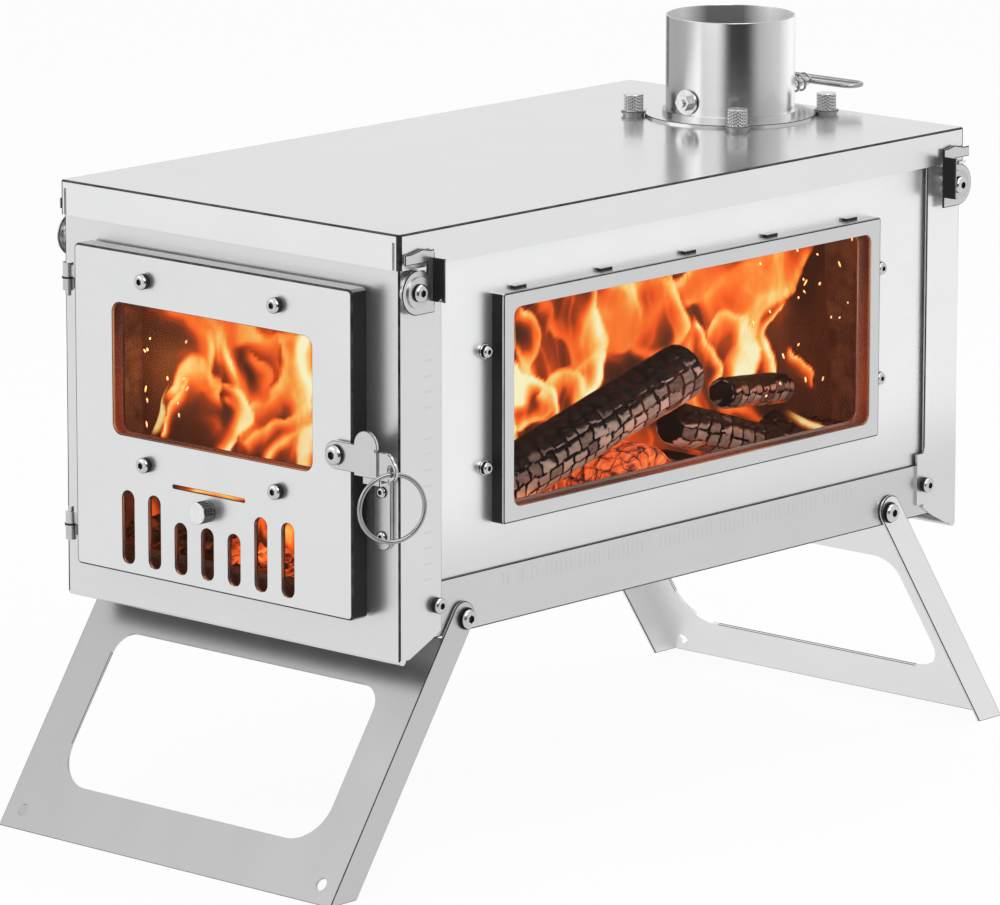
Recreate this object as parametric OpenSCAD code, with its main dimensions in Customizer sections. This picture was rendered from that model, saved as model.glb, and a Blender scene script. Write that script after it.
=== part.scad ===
// Tent wood stove with folding legs, side windows, hinged door and flue collar.
// Millimetres. +X is the stove's right side, -Y its front (the door), +Z up, floor at Z = 0.
// Lengths along Y are counted from the lid's front edge, until placed() centres the whole.

/* [Body] */
// Width of the lid, outside its skirt
body_w = 210; // [190:1:240]
// Length of the lid, outside its skirt
body_l = 390; // [370:1:450]
// Height from the tray's underside to the lid's top
body_h = 184; // [180:1:220]
// Thickness of the sheet steel
sheet_t = 1.2; // [1:0.1:1.4]
// Height of the lid's skirt
skirt_h = 16; // [12:1:18]
// Radius of the lid's upright corners
lid_r = 2.2; // [1.6:0.1:2.2]
// Gap between parts that slide or lift past each other
fit_gap = 0.3; // [0.2:0.1:0.5]
// How far the front and rear panels hang below the tray
panel_drop = 8.3; // [5:0.1:10]
// Depth of the front panel's side flanges
front_flange = 27.1; // [24:0.1:30]
// Depth of the rear panel's side flanges
rear_flange = 24; // [20:0.1:28]
// Radius of the rolled hem under the front and rear panels
hem_r = 2; // [1.5:0.1:2.5]

/* [Tray] */
// Height of the tray's side flanges
tray_side_h = 25.5; // [20:0.1:30]
// Height of the tray's front and rear lips
tray_lip_h = 12; // [8:1:14]

/* [Side windows] */
// Distance of the window frame's front end from the lid's front edge
win_y = 64; // [60:1:80]
// Length of the window frame
win_l = 261; // [200:1:270]
// Height of the window frame
win_h = 104; // [80:1:106]
// Depth of the window frame's top edge below the lid's top
win_top = 34.3; // [30:0.1:40]
// Width of the frame's border around the glass
win_border = 7; // [6:0.5:9]
// How far the window frame stands out of the side wall
win_depth = 6.9; // [6.5:0.1:8]
// Corner radius of the window openings
win_r = 4.5; // [3:0.5:6]
// Length of the ears inside the wall, at the frame's ends
ear_l = 11; // [9:0.5:14]
// Distance of the clamp bolts from the frame's ends
win_bolt_y = 6; // [5:0.5:7]
// Height spacing of the clamp bolts
win_bolt_pitch = 52.4; // [40:0.1:60]
// Number of hooks on the frame's upper edge
win_hooks = 5; // [3:1:7]
// Thickness of the heat-proof glass
glass_t = 4; // [3:0.5:4]
// Thickness of the glass gaskets
gasket_t = 0.7; // [0.5:0.1:0.9]

/* [Door] */
// Width of the door
door_w = 172; // [160:1:176]
// Height of the door
door_h = 147.7; // [140:0.1:150]
// Depth of the door's top edge below the lid's top
door_top = 25.2; // [22:0.1:26]
// Depth of the door's pan
door_d = 9.6; // [9:0.1:11]
// Gap between the door's rear edge and the front panel
door_gap = 1.9; // [1.2:0.1:2.5]
// Width of the panel's border that the door covers
door_lap = 10; // [8:1:12]
// Half width of the door's window
door_win_w = 62; // [50:1:64]
// Depth of the door window's upper edge below the door's top
door_win_top = 23.8; // [22:0.1:26]
// Height of the door's window
door_win_h = 60.4; // [50:0.1:62]
// Half spacing of the door's glass bolts across
door_bolt_x = 41; // [30:1:50]

/* [Air inlet] */
// Sideways place of the air knob and slots
vent_x = -3; // [-6:0.5:6]
// Number of air slots
slot_count = 7; // [5:2:7]
// Spacing of the air slots
slot_pitch = 16.6; // [15:0.1:17]
// Width of an air slot
slot_w = 7.6; // [5:0.1:8]
// Height of an outer air slot
slot_long = 33.7; // [28:0.1:36]
// Height of a middle air slot, under the knob
slot_short = 23.7; // [18:0.1:26]
// Height of the slots' lower ends above the door's lower edge
slot_up = 4.6; // [4:0.1:6]
// Height of the air knob above the door's lower edge
knob_up = 36.3; // [34:0.1:38]
// Diameter of the air knob
knob_d = 10; // [8:0.5:11]
// Length of the air knob
knob_l = 7; // [6:0.5:12]
// Travel of the air slide
slide_travel = 8.3; // [8:0.1:8.6]

/* [Legs] */
// Angle between an open leg and the upright
leg_open = 34; // [30:0.5:36]
// Length of a leg from its pivot to the floor, along its face
leg_len = 144.1; // [138:0.1:146]
// Thickness of the leg's plate
leg_t = 1.5; // [1.2:0.1:2]
// Width of the leg's side arms
leg_arm = 14; // [12:0.5:15]
// Distance of the leg's face from its pivot
leg_face = 8.5; // [8:0.1:9]
// Distance of the leg plate's upper edge from the pivot
leg_plate_top = 13.7; // [13.5:0.1:15]
// Height of the leg pivots above the tray's underside
pivot_up = 6.3; // [5.8:0.1:6.5]
// Distance of the front leg's pivot from the lid's front edge
leg_front_y = 43.6; // [42:0.1:46]
// Distance of the rear leg's pivot from the lid's rear edge
leg_rear_y = 51.7; // [50:0.1:54]
// Width of the opening in a leg
leg_hole_w = 164; // [140:1:170]
// Lower end of the leg's opening, from the floor along the leg
leg_hole_low = 26; // [22:1:30]
// Upper end of the leg's opening, from the floor along the leg
leg_hole_high = 102.3; // [90:0.1:106]
// Diameter of the peg holes in the feet
peg_d = 6; // [4:0.5:7]

/* [Flue] */
// Diameter of the stove pipe that fits the collar
pipe_d = 60; // [50:1:60]
// Clearance around the stove pipe
pipe_gap = 0.1; // [0.1:0.05:0.2]
// Thickness of the collar's wall
collar_t = 0.6; // [0.5:0.1:1]
// Height of the collar above the lid
collar_h = 48.3; // [40:0.1:60]
// Distance of the collar's axis from the lid's rear edge
flue_rear = 47.5; // [46:0.5:52]
// Radius of the collar's flange disc
flange_r = 40.7; // [38:0.1:41]
// Height of the pipe's stop bead above the lid
bead_z = 18; // [16:0.5:20]
// Height of the damper's rod above the lid
rod_z = 9.5; // [9:0.1:11]
// Diameter of the damper's rod
rod_d = 4; // [3:0.1:5]
// Width of the damper's wire loop
loop_w = 56; // [40:1:60]
// Depth of the damper's wire loop
loop_d = 14; // [12:0.5:16]
// Diameter of the loop's wire
loop_wire = 2.2; // [2:0.1:3]
// Length of the damper's spring
spring_l = 24; // [20:0.5:26]
// Radius of the thumb screws' circle
thumb_circle = 46; // [46:0.5:48]
// Diameter of a thumb screw's head
thumb_d = 9.3; // [8:0.1:10]
// Height of a thumb screw's head
thumb_h = 8; // [6:0.5:10]

/* [Latch] */
// Distance of the latch pivot from the door's right edge
latch_in = 7.4; // [7:0.1:10]
// Depth of the latch pivot below the door's top
latch_down = 73.5; // [70:0.5:80]
// Thickness of the lever's sheet
lever_t = 1.5; // [1.2:0.1:2]
// Width of the lever's strap
lever_w = 12.6; // [11:0.1:14]
// Mean radius of the latch's ring
ring_r = 15; // [12:0.5:16]
// Diameter of the ring's wire
ring_wire = 2; // [1.6:0.1:2.2]
// Heading of the ring's wire circle, from the stove's right towards its rear
ring_turn = 62.3; // [56:0.1:66]

/* [Lid clips] */
// Distance of the front clips' bolts from the lid's front edge
clip_front_y = 9.9; // [9.5:0.1:12]
// Distance of the rear clips' bolts from the lid's rear edge
clip_rear_y = 7; // [6.5:0.1:12]
// Depth of the clips' bolts below the lid's top
clip_down = 26.4; // [26:0.1:28]
// Radius of a clip's round end
clip_r = 10; // [9.5:0.1:10]
// How far a clip's finger tab reaches outwards
clip_tab = 6.8; // [5:0.1:8]

/* [Firebox] */
// Height of the grate above the tray
grate_up = 9; // [7:1:11]
// Number of slots in the grate
grate_slots = 17; // [12:1:20]
// Depth of the baffle below the lid's top
baffle_down = 33; // [32:0.5:35]
// Length of the baffle, forwards from the rear panel
baffle_l = 150; // [120:1:180]
// Depth of the flames' tips below the lid's top, clear of the space for more wood
flame_down = 81; // [80:1:88]
// Length of a tongue of flame at its foot
flame_w = 26; // [20:1:34]

/* [Hidden] */
$fn = 48;

STEEL = [0.82, 0.82, 0.83];
DARK = [0.35, 0.35, 0.37];
ROPE = [0.18, 0.18, 0.18];
GLASS = [0.9, 0.45, 0.15, 0.45];
WOOD = [0.16, 0.09, 0.06];
FIRE = [1, 0.42, 0.06];

// Heights
pivot_z = leg_len * cos(leg_open) - leg_face * sin(leg_open);
tray_z = pivot_z - pivot_up;
lid_z = tray_z + body_h;
under_lid_z = lid_z - sheet_t;
panel_z = tray_z - panel_drop;
floor_in_z = tray_z + sheet_t;

// Layers from the lid's skirt inwards
half_w = body_w / 2;
flange_x = half_w - sheet_t - fit_gap;
tray_x = flange_x - sheet_t;
wall_x = tray_x - sheet_t;
wall_in_x = wall_x - sheet_t;
front_y = sheet_t + fit_gap;
front_in_y = front_y + sheet_t;
rear_y = body_l - sheet_t - fit_gap;
rear_in_y = rear_y - sheet_t;

// Clearance between a part and the one it is fixed around
snug = 0.05;
// How far a cutting shape reaches past what it cuts
over = 1;
// Length of a bolt hole's cutter
drill = 20;

// Lid's corner notches
notch_w = 1.4;
notch_in = lid_r + 2;
notch_l = lid_r + 1.5;
notch_h = skirt_h - sheet_t - 2.5;

// Panel flanges: the foot is cut off between two shares of the depth
foot_up = 4;
foot_cut = [0.23, 0.76];
foot_cut_up = 0.4;
flange_bolt_up = 15.4;
flange_bolt_front_y = front_y + front_flange - 3.6;
flange_bolt_rear_y = rear_y - rear_flange + 0.4;
rear_step_up = 6;
rear_step_h = 24.5;
rear_step_out = 4.9;
panel_opening_r = 4;

// Bolts: all have M4 shanks
shank_r = 2;
hole_r = 2.06;
head_r = 3.6;
head_h = 2.2;
nut_r = 4;
nut_h = 2.4;

// Side windows
frame_x = wall_x + win_depth;
frame_top_z = lid_z - win_top;
frame_bottom_z = frame_top_z - win_h;
glass_out_x = frame_x - sheet_t - gasket_t;
glass_in_x = glass_out_x - glass_t;
frame_mid_z = (frame_top_z + frame_bottom_z) / 2 + 0.2;
frame_r = 1.5;
frame_in_r = 0.6;
glass_margin = sheet_t + 0.8;
wall_border = win_border + 1;
hook_w = 7.8;
hook_h = 1.3;
hook_end = 9;
ear_up = 8;
ear_low_z = frame_bottom_z + ear_up;
ear_high_z = frame_top_z - ear_up;

// Door, whose own middle is at X = 0
door_back_y = front_y - door_gap;
door_y = door_back_y - door_d;
door_top_z = lid_z - door_top;
door_bottom_z = door_top_z - door_h;
door_win_top_z = door_top_z - door_win_top;
door_win_low_z = door_win_top_z - door_win_h;
door_bolt_gap = 11.6;
door_glass_y = door_y + sheet_t + gasket_t;
inner_plate_y = door_glass_y + glass_t + gasket_t;
door_glass_over = 6;
door_win_r = 5;
door_r = 2.5;
door_in_r = 1.3;
rope_in = 2;
rope_w = 5.5;
rope_r = 3;
spacer_h = 1.8;

// Air inlet
slide_y = door_y + sheet_t + 0.1;
slide_t = 1;
slot_low_z = door_bottom_z + slot_up;
knob_z = door_bottom_z + knob_up;
slide_top_z = knob_z + 5;
slide_low_z = slot_low_z - 1.6;
slide_half = slot_count * slot_pitch / 2;
guide_gap = 0.3;
guide_lip = 3;
guide_low_lip = 1.6;
guide_end = 2;
slit_l = 45;
slit_h = 1.6;
slit_x = vent_x + 1;
slit_z = knob_z + 7.4;
air_window_over = 4;
air_window_gap = 0.5;
knob_gap = 0.4;
knob_pin_r = 1.5;
knob_grooves = 28;

// Hinges
hinge_x = -(door_w / 2 + 9.9);
hinge_y = door_y + 6;
knuckle_r = 2.5;
hinge_pin_r = 1.4;
knuckle_l = 5.4;
hinge_washer_t = 0.8;
hinge_inset = 12.2;
leaf_t = 1;
leaf_weld = 0.3;
pin_tail = 2.5;
pin_head_t = 1.2;

// Lower ends of the two hinges, each with two knuckles and a washer
hinge_l = 2 * knuckle_l + hinge_washer_t;
hinge_low_z = [door_bottom_z + hinge_inset - 2.3, door_top_z - hinge_inset - hinge_l];

// Latch
latch_x = door_w / 2 - latch_in;
latch_z = door_top_z - latch_down;
lever_back_y = door_y - 1.4;
lever_front_y = lever_back_y - lever_t;
strip_step = 0.9;
lever_mid_x = door_w / 2 + 3.8;
hook_x = lever_mid_x + 2.6;
hook_w_lever = 7;
strip_x = lever_mid_x + 12.5;
ear_x = strip_x + 5.8;
ear_fold = 15;
ring_hole = [3.9, -2.6];
ring_hole_r = 2.5;
hang_x = ear_x + ring_hole[0] * cos(ear_fold) + lever_t / 2 * sin(ear_fold);
hang_y = lever_front_y + strip_step - ring_hole[0] * sin(ear_fold) + lever_t / 2 * cos(ear_fold);
hang_z = latch_z + ring_hole[1] - ring_hole_r + ring_wire / 2 + 0.05;
keeper_x = door_w / 2 + 3.8;
keeper_w = 10.2;
keeper_t = 2;
keeper_mid_x = keeper_x + keeper_w / 2;
keeper_low_z = latch_z - 42.3;
keeper_top_z = latch_z - 11;
keeper_screw_z = [latch_z - 16.3, latch_z - 36.3];
keeper_hole_r = 1.56;
keeper_screw_r = 1.5;
keeper_lip_z = keeper_top_z - sheet_t;
keeper_lip_y = lever_back_y + 4;
keeper_lip_h = 5;
latch_head_r = 4.6;
latch_head_h = 2.8;
hook_t = 1.2;

// Legs
leg_in_x = tray_x + 0.4;
leg_out_x = leg_in_x + leg_t;
leg_bolt_r = 2.5;
leg_washer_r = 5;
leg_washer_t = 0.8;
leg_slack = 0.1;
peg_up = 9.5;
peg_out = 11.8;
leg_bolt_head_r = 4.4;
leg_bolt_head_h = 2.6;
leg_low_r = 19;
leg_high_r = 11;
leg_extra = 12;

// Clips
clip_x = half_w + 0.8;
clip_t = 1.2;
clip_z = lid_z - clip_down;
clip_tab_z = lid_z - skirt_h;
lid_tab_l = 5;
lid_tab_out = 4.5;
tongue_low = clip_down - skirt_h + sheet_t + 1.1;
tongue_high = tongue_low + 6.2;
clip_back = 10.6;
clip_washer_r = 8;
clip_slack = 0.1;
clip_washer_t = 0.8;
clip_head_r = 4;
clip_head_h = 2.4;
clip_tab_low = 5;
clip_tab_h = 19.4;

// Flue
flue_y = body_l - flue_rear;
bore_r = pipe_d / 2 + pipe_gap;
collar_r = bore_r + collar_t;
bead_r = bore_r - 0.9;
disc_r = bead_r - 1.2;
weld_r = collar_r + 1.6;
weld_h = 2;
bead_h = 1.3;
washer_reach = 0.8;
thumb_washer_t = 1;
thumb_grooves = 26;
thumb_seat_r = thumb_circle - flange_r - 0.2;
rod_hole_r = rod_d / 2 + 0.07;
rod_washer_t = 1.2;
rod_nut_h = 3.2;
rod_front = 4.5;
rod_end = 0.8;
spring_r = 4.6;
front_washer_r = 6;
rear_washer_r = 5.5;
saddle_out = 10;
saddle_l = 8;
saddle_foot = 4.8;
disc_hole_ring = 18;
disc_hole_r = 3;
rod_side = collar_r + fit_gap;
loop_y = rod_side + rod_washer_t + spring_l;

// Firebox
grate_t = 2;
grate_z = floor_in_z + grate_up + grate_t;
grate_end = 4;
grate_side = 5.6;
grate_rim = 14;
grate_slot_w = 6;
baffle_t = 1.5;
baffle_side = 6;

// Firewood: each log across the grate is [distance from the front, radius]
cross_logs = [[72, 8], [190, 23.5], [262, 13], [348, 16]];
cross_half = 84;
log_gap = 0.3;
long_log_r = 14;
long_log_x = 68;
long_log_l = 196;
long_span = [cross_logs[1][0] - cross_logs[0][0], cross_logs[1][1] - cross_logs[0][1]];
long_lean = atan2(long_span[1], long_span[0]) + asin(long_span[1] / norm(long_span));
long_reach = cross_logs[0][1] + long_log_r + log_gap;
long_log_y = cross_logs[0][0] - long_reach * sin(long_lean) - 24 * cos(long_lean);
long_log_z = grate_z + cross_logs[0][1] + long_reach * cos(long_lean) - 24 * sin(long_lean);
back_log_r = 11;
back_log_x = 46;
back_lean = 18;
back_log_z = grate_z + cross_logs[2][1] + (cross_logs[2][1] + back_log_r + log_gap) / cos(back_lean);
top_log_r = 8;
back_log_from = [back_log_x, cross_logs[2][0] - 14, back_log_z + 14 * sin(back_lean)];
back_log_to = [back_log_x, cross_logs[2][0] + 60, back_log_z - 60 * tan(back_lean)];
top_log_up = back_log_r + top_log_r + 1.2;
top_log_from = [back_log_x, cross_logs[2][0] + 22, back_log_z - 22 * tan(back_lean) + top_log_up];
top_log_to = [back_log_x - 24, cross_logs[3][0] + 8, grate_z + 2 * cross_logs[3][1] + top_log_r + log_gap];

// Flames: upright sheets behind the door and on both sides, some behind the logs and some before them
flame_t = 1.2;
flame_steps = 8;
flame_curl = 0.3;
flame_top_z = lid_z - flame_down;
flame_valley_z = grate_z + 2 * cross_logs[1][1] + 8.5;
flame_front_y = 45;
flame_side_y = flame_front_y + 5;
flame_rows = [[27, 300], [50, 238]];
flame_front_x = 86;

// Centring of the finished stove over the origin
reach_right = hang_x + ring_r * cos(ring_turn) + ring_wire / 2;
reach_left = clip_x + clip_t + clip_tab;
toe = leg_face * cos(leg_open) + leg_len * sin(leg_open);
toe_front = leg_front_y - toe;
toe_rear = body_l - leg_rear_y + toe;
mid_x = (reach_right - reach_left) / 2;
mid_y = (toe_front + toe_rear) / 2;

module placed() {
    translate([-mid_x, -mid_y, 0]) children();
}

// Extrudes an outline drawn in (Y, Z) along +X
module along_x(x, length) {
    translate([x, 0, 0]) rotate([90, 0, 90]) linear_extrude(length) children();
}

// Extrudes an outline drawn in (X, Z) along +Y
module along_y(y, length) {
    translate([0, y + length, 0]) rotate([90, 0, 0]) linear_extrude(length) children();
}

module at_left() {
    mirror([1, 0, 0]) children();
}

module both_sides() {
    children();
    at_left() children();
}

// Rectangle with round corners, from one corner to the opposite one
module round_rect(low, high, r) {
    translate([low[0] + r, low[1]]) square([high[0] - low[0] - 2 * r, high[1] - low[1]]);
    translate([low[0], low[1] + r]) square([high[0] - low[0], high[1] - low[1] - 2 * r]);
    for (x = [low[0] + r, high[0] - r], y = [low[1] + r, high[1] - r]) translate([x, y]) circle(r);
}

// Solid rod or disc along X, Y or Z from a point
module bar_x(p, r, l) {
    translate(p) rotate([0, 90, 0]) cylinder(h = l, r = r);
}

module bar_y(p, r, l) {
    translate(p) rotate([-90, 0, 0]) cylinder(h = l, r = r);
}

// Cutters for a bolt hole through the stove's side, or through its front
module hole_x(y, z, r) {
    bar_x([wall_x - drill / 2, y, z], r, drill);
}

module hole_y(x, z, r) {
    bar_y([x, -drill, z], r, 2 * drill);
}

// Button head with a hex socket, pointing along +Z
module button_head(r, h) {
    difference() {
        union() {
            cylinder(h = h * 0.55, r = r);
            translate([0, 0, h * 0.55]) cylinder(h = h * 0.45, r1 = r, r2 = r * 0.72);
        }
        translate([0, 0, h * 0.4]) cylinder(h = h, r = r * 0.38, $fn = 6);
    }
}

// Knurled head: a cylinder with grooves all round, pointing along +Z
module knurled(r, h, grooves) {
    difference() {
        cylinder(h = h, r = r);
        for (i = [0 : grooves - 1])
            rotate([0, 0, i * 360 / grooves]) translate([r, 0, h / 2]) rotate([0, 0, 45])
                cube([0.7, 0.7, h * 0.86], center = true);
    }
}

/* ---- Body ---- */

module lid() {
    color(STEEL) difference() {
        union() {
            translate([0, 0, lid_z - skirt_h]) linear_extrude(skirt_h)
                round_rect([-half_w, 0], [half_w, body_l], lid_r);
            for (y = [clip_front_y, body_l - clip_rear_y]) both_sides()
                translate([half_w - sheet_t, y - lid_tab_l / 2, clip_tab_z])
                    cube([lid_tab_out + sheet_t, lid_tab_l, sheet_t]);
        }
        translate([0, 0, lid_z - skirt_h - over]) linear_extrude(skirt_h + over - sheet_t)
            round_rect([-half_w + sheet_t, sheet_t], [half_w - sheet_t, body_l - sheet_t], lid_r - sheet_t);
        for (y = [-over, body_l - notch_l]) both_sides()
            translate([half_w - notch_in, y, lid_z - skirt_h - over])
                cube([notch_w, notch_l + over, notch_h + over]);
        translate([0, flue_y, lid_z - drill / 2]) cylinder(h = drill, r = bore_r, $fn = 96);
        at_thumb_screws() translate([0, 0, lid_z - drill / 2]) cylinder(h = drill, r = hole_r);
    }
}

module at_thumb_screws() {
    for (a = [45 : 90 : 315])
        translate([0, flue_y, 0]) rotate([0, 0, a]) translate([thumb_circle, 0, 0]) children();
}

// Panel's side flange in (depth behind the panel's face, Z), its foot cut off at an angle
module flange_outline(depth) {
    polygon([
        [0, panel_z + hem_r], [depth * foot_cut[0], panel_z + hem_r],
        [depth * foot_cut[1], tray_z + foot_cut_up],
        [depth, tray_z + foot_up], [depth, under_lid_z], [0, under_lid_z]
    ]);
}

module flange_bolt_holes() {
    for (y = [flange_bolt_front_y, flange_bolt_rear_y]) hole_x(y, tray_z + flange_bolt_up, hole_r);
}

module clip_bolt_holes() {
    for (y = [clip_front_y, body_l - clip_rear_y]) hole_x(y, clip_z, hole_r);
}

module leg_bolt_holes() {
    for (y = [leg_front_y, body_l - leg_rear_y]) hole_x(y, pivot_z, leg_bolt_r + snug);
}

module panel(y, out) {
    along_y(out > 0 ? y - sheet_t : y, sheet_t)
        translate([-flange_x, panel_z + hem_r]) square([2 * flange_x, under_lid_z - panel_z - hem_r]);
    bar_x([-flange_x, y - out * hem_r, panel_z + hem_r], hem_r, 2 * flange_x);
}

module front_panel() {
    color(STEEL) difference() {
        union() {
            panel(front_y, -1);
            both_sides() along_x(flange_x - sheet_t, sheet_t)
                translate([front_y, 0]) flange_outline(front_flange);
        }
        along_y(-drill, 2 * drill) round_rect([-door_w / 2 + door_lap, door_bottom_z + door_lap],
            [door_w / 2 - door_lap, door_top_z - door_lap], panel_opening_r);
        both_sides() flange_bolt_holes();
        both_sides() clip_bolt_holes();
        for (z = keeper_screw_z) hole_y(keeper_mid_x, z, keeper_hole_r);
    }
}

module rear_panel() {
    color(STEEL) difference() {
        union() {
            panel(rear_y, 1);
            both_sides() along_x(flange_x - sheet_t, sheet_t) translate([rear_y, 0]) mirror([1, 0]) union() {
                flange_outline(rear_flange);
                translate([0, tray_z + rear_step_up]) square([rear_flange + rear_step_out, rear_step_h]);
            }
        }
        both_sides() flange_bolt_holes();
        both_sides() clip_bolt_holes();
    }
}

module tray() {
    length = rear_in_y - front_in_y;
    color(STEEL) difference() {
        union() {
            translate([-tray_x, front_in_y, tray_z]) cube([2 * tray_x, length, sheet_t]);
            both_sides() translate([tray_x - sheet_t, front_in_y, tray_z])
                cube([sheet_t, length, tray_side_h]);
            for (y = [front_in_y, rear_in_y - sheet_t])
                translate([-wall_in_x, y, tray_z]) cube([2 * wall_in_x, sheet_t, tray_lip_h]);
        }
        both_sides() {
            flange_bolt_holes();
            leg_bolt_holes();
        }
    }
}

module side_wall_right() {
    color(STEEL) difference() {
        translate([wall_in_x, front_in_y, floor_in_z])
            cube([sheet_t, rear_in_y - front_in_y, under_lid_z - floor_in_z]);
        along_x(wall_in_x - over, sheet_t + 2 * over) window_hole(wall_border);
        for (y = [win_y, win_y + win_l - sheet_t]) translate([wall_in_x - over, y - snug, ear_low_z - snug])
            cube([sheet_t + 2 * over, sheet_t + 2 * snug, ear_high_z - ear_low_z + 2 * snug]);
        at_window_bolts() hole_x(0, 0, hole_r);
        flange_bolt_holes();
        leg_bolt_holes();
        clip_bolt_holes();
    }
}

module side_wall_left() {
    at_left() side_wall_right();
}

/* ---- Side windows ---- */

module window_hole(border) {
    round_rect([win_y + border, frame_bottom_z + border],
        [win_y + win_l - border, frame_top_z - border], win_r);
}

module at_window_bolts() {
    for (y = [win_y - win_bolt_y, win_y + win_l + win_bolt_y], side = [-1, 1])
        translate([0, y, frame_mid_z + side * win_bolt_pitch / 2]) children();
}

module window_frame_right() {
    first_hook_y = win_y + win_border + hook_end;
    hook_pitch = (win_l - 2 * win_border - 2 * hook_end) / (win_hooks - 1);
    color(STEEL) difference() {
        union() {
            along_x(wall_x, win_depth)
                round_rect([win_y, frame_bottom_z], [win_y + win_l, frame_top_z], frame_r);
            for (i = [0 : win_hooks - 1])
                translate([wall_x, first_hook_y + i * hook_pitch - hook_w / 2, frame_top_z - over])
                    cube([sheet_t * 2, hook_w, hook_h + over]);
        }
        along_x(wall_x - over, win_depth + over - sheet_t)
            round_rect([win_y + sheet_t, frame_bottom_z + sheet_t],
                [win_y + win_l - sheet_t, frame_top_z - sheet_t], frame_in_r);
        along_x(wall_x - over, win_depth + 2 * over) window_hole(win_border);
    }
    color(STEEL) difference() {
        for (y = [win_y, win_y + win_l - sheet_t]) window_ear(y);
        at_window_bolts() hole_x(0, 0, hole_r);
    }
}

// Tab through the wall's slot, folded flat behind the wall
module window_ear(y) {
    way = y > win_y ? 1 : -1;
    tall = ear_high_z - ear_low_z;
    translate([wall_in_x - sheet_t, y, ear_low_z]) cube([sheet_t * 2 + over, sheet_t, tall]);
    along_x(wall_in_x - sheet_t, sheet_t) round_rect(
        [way < 0 ? y - ear_l : y, ear_low_z], [way < 0 ? y + sheet_t : y + sheet_t + ear_l, ear_high_z], 1);
}

module window_frame_left() {
    at_left() window_frame_right();
}

module window_glass_right() {
    color(GLASS) translate([glass_in_x, win_y + glass_margin, frame_bottom_z + glass_margin])
        cube([glass_t, win_l - 2 * glass_margin, win_h - 2 * glass_margin]);
}

module window_glass_left() {
    at_left() window_glass_right();
}

module window_gasket(x, thick) {
    along_x(x, thick) difference() {
        round_rect([win_y + glass_margin, frame_bottom_z + glass_margin],
            [win_y + win_l - glass_margin, frame_top_z - glass_margin], 1);
        window_hole(win_border);
    }
}

module window_gaskets_right() {
    color(ROPE) {
        window_gasket(glass_out_x, gasket_t);
        window_gasket(wall_x, glass_in_x - wall_x);
    }
}

module window_gaskets_left() {
    at_left() window_gaskets_right();
}

// Clamp bolts: spacer, button head, shank and inner nut
module window_bolts() {
    color(DARK) both_sides() at_window_bolts() {
        nut_x = wall_in_x - sheet_t - nut_h;
        bar_x([nut_x - 1, 0, 0], shank_r, wall_x + 3 - nut_x);
        bar_x([wall_x, 0, 0], head_r, spacer_h);
        translate([wall_x + spacer_h, 0, 0]) rotate([0, 90, 0]) button_head(head_r, head_h);
        translate([nut_x, 0, 0]) rotate([0, 90, 0]) cylinder(h = nut_h, r = nut_r, $fn = 6);
    }
}

/* ---- Door ---- */

module door_outline(inset, r) {
    round_rect([-door_w / 2 + inset, door_bottom_z + inset], [door_w / 2 - inset, door_top_z - inset], r);
}

module door_window(grow) {
    round_rect([-door_win_w - grow, door_win_low_z - grow],
        [door_win_w + grow, door_win_top_z + grow], door_win_r);
}

module at_door_bolts() {
    rows_z = [door_win_top_z + door_bolt_gap, door_win_low_z - door_bolt_gap];
    for (x = [-door_bolt_x, door_bolt_x], z = rows_z) translate([x, 0, z]) children();
}

// Air slots: the middle three are shorter, under the knob
module air_slots() {
    middle = (slot_count - 1) / 2;
    for (i = [-middle : middle]) {
        long = abs(i) > 1 ? slot_long : slot_short;
        translate([vent_x + i * slot_pitch, slot_low_z])
            round_rect([-slot_w / 2, 0], [slot_w / 2, long], slot_w / 2 - snug);
    }
}

module door_shell() {
    color(STEEL) difference() {
        along_y(door_y, door_d) door_outline(0, door_r);
        along_y(door_y + sheet_t, door_d) door_outline(sheet_t, door_in_r);
        through_plate(door_y) door_window(0);
        through_plate(door_y) air_slots();
        through_plate(door_y) fire_slit();
        through_plate(door_y) round_rect([vent_x - slide_travel - hole_r, knob_z - hole_r],
            [vent_x + hole_r, knob_z + hole_r], hole_r - snug);
        at_door_bolts() hole_y(0, 0, hole_r);
        hole_y(latch_x, latch_z, hole_r);
    }
}

// Cutter through one sheet that lies across Y
module through_plate(y) {
    along_y(y - over, sheet_t + 2 * over) children();
}

// Thin slit over the air knob that shows the fire's glow
module fire_slit() {
    round_rect([slit_x - slit_l / 2, slit_z], [slit_x + slit_l / 2, slit_z + slit_h], slit_h / 2 - snug);
}

// One wide opening behind all the slots and the slit, clear of the rope gasket
module air_window() {
    round_rect([vent_x - slide_half - air_window_over, door_bottom_z + rope_in + rope_w + air_window_gap],
        [vent_x + slide_half + air_window_over, slit_z + slit_h], door_in_r);
}

module door_inner_plate() {
    color(STEEL) difference() {
        along_y(inner_plate_y, sheet_t) door_outline(sheet_t + 2 * snug, door_in_r - 2 * snug);
        through_plate(inner_plate_y) door_window(0);
        through_plate(inner_plate_y) air_window();
        at_door_bolts() hole_y(0, 0, hole_r);
    }
}

module door_glass() {
    half = door_win_w + door_glass_over;
    color(GLASS) along_y(door_glass_y, glass_t) translate([-half, door_win_low_z - door_glass_over])
        square([2 * half, door_win_h + 2 * door_glass_over]);
}

module door_glass_gaskets() {
    color(ROPE) for (y = [door_glass_y - gasket_t, door_glass_y + glass_t])
        along_y(y, gasket_t) difference() {
            door_window(door_glass_over);
            door_window(0);
        }
}

// Rope gasket between the door and the front panel
module door_gasket() {
    y = inner_plate_y + sheet_t;
    color(ROPE) along_y(y, front_y - fit_gap - y) difference() {
        door_outline(rope_in, rope_r);
        door_outline(rope_in + rope_w, rope_r);
    }
}

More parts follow.
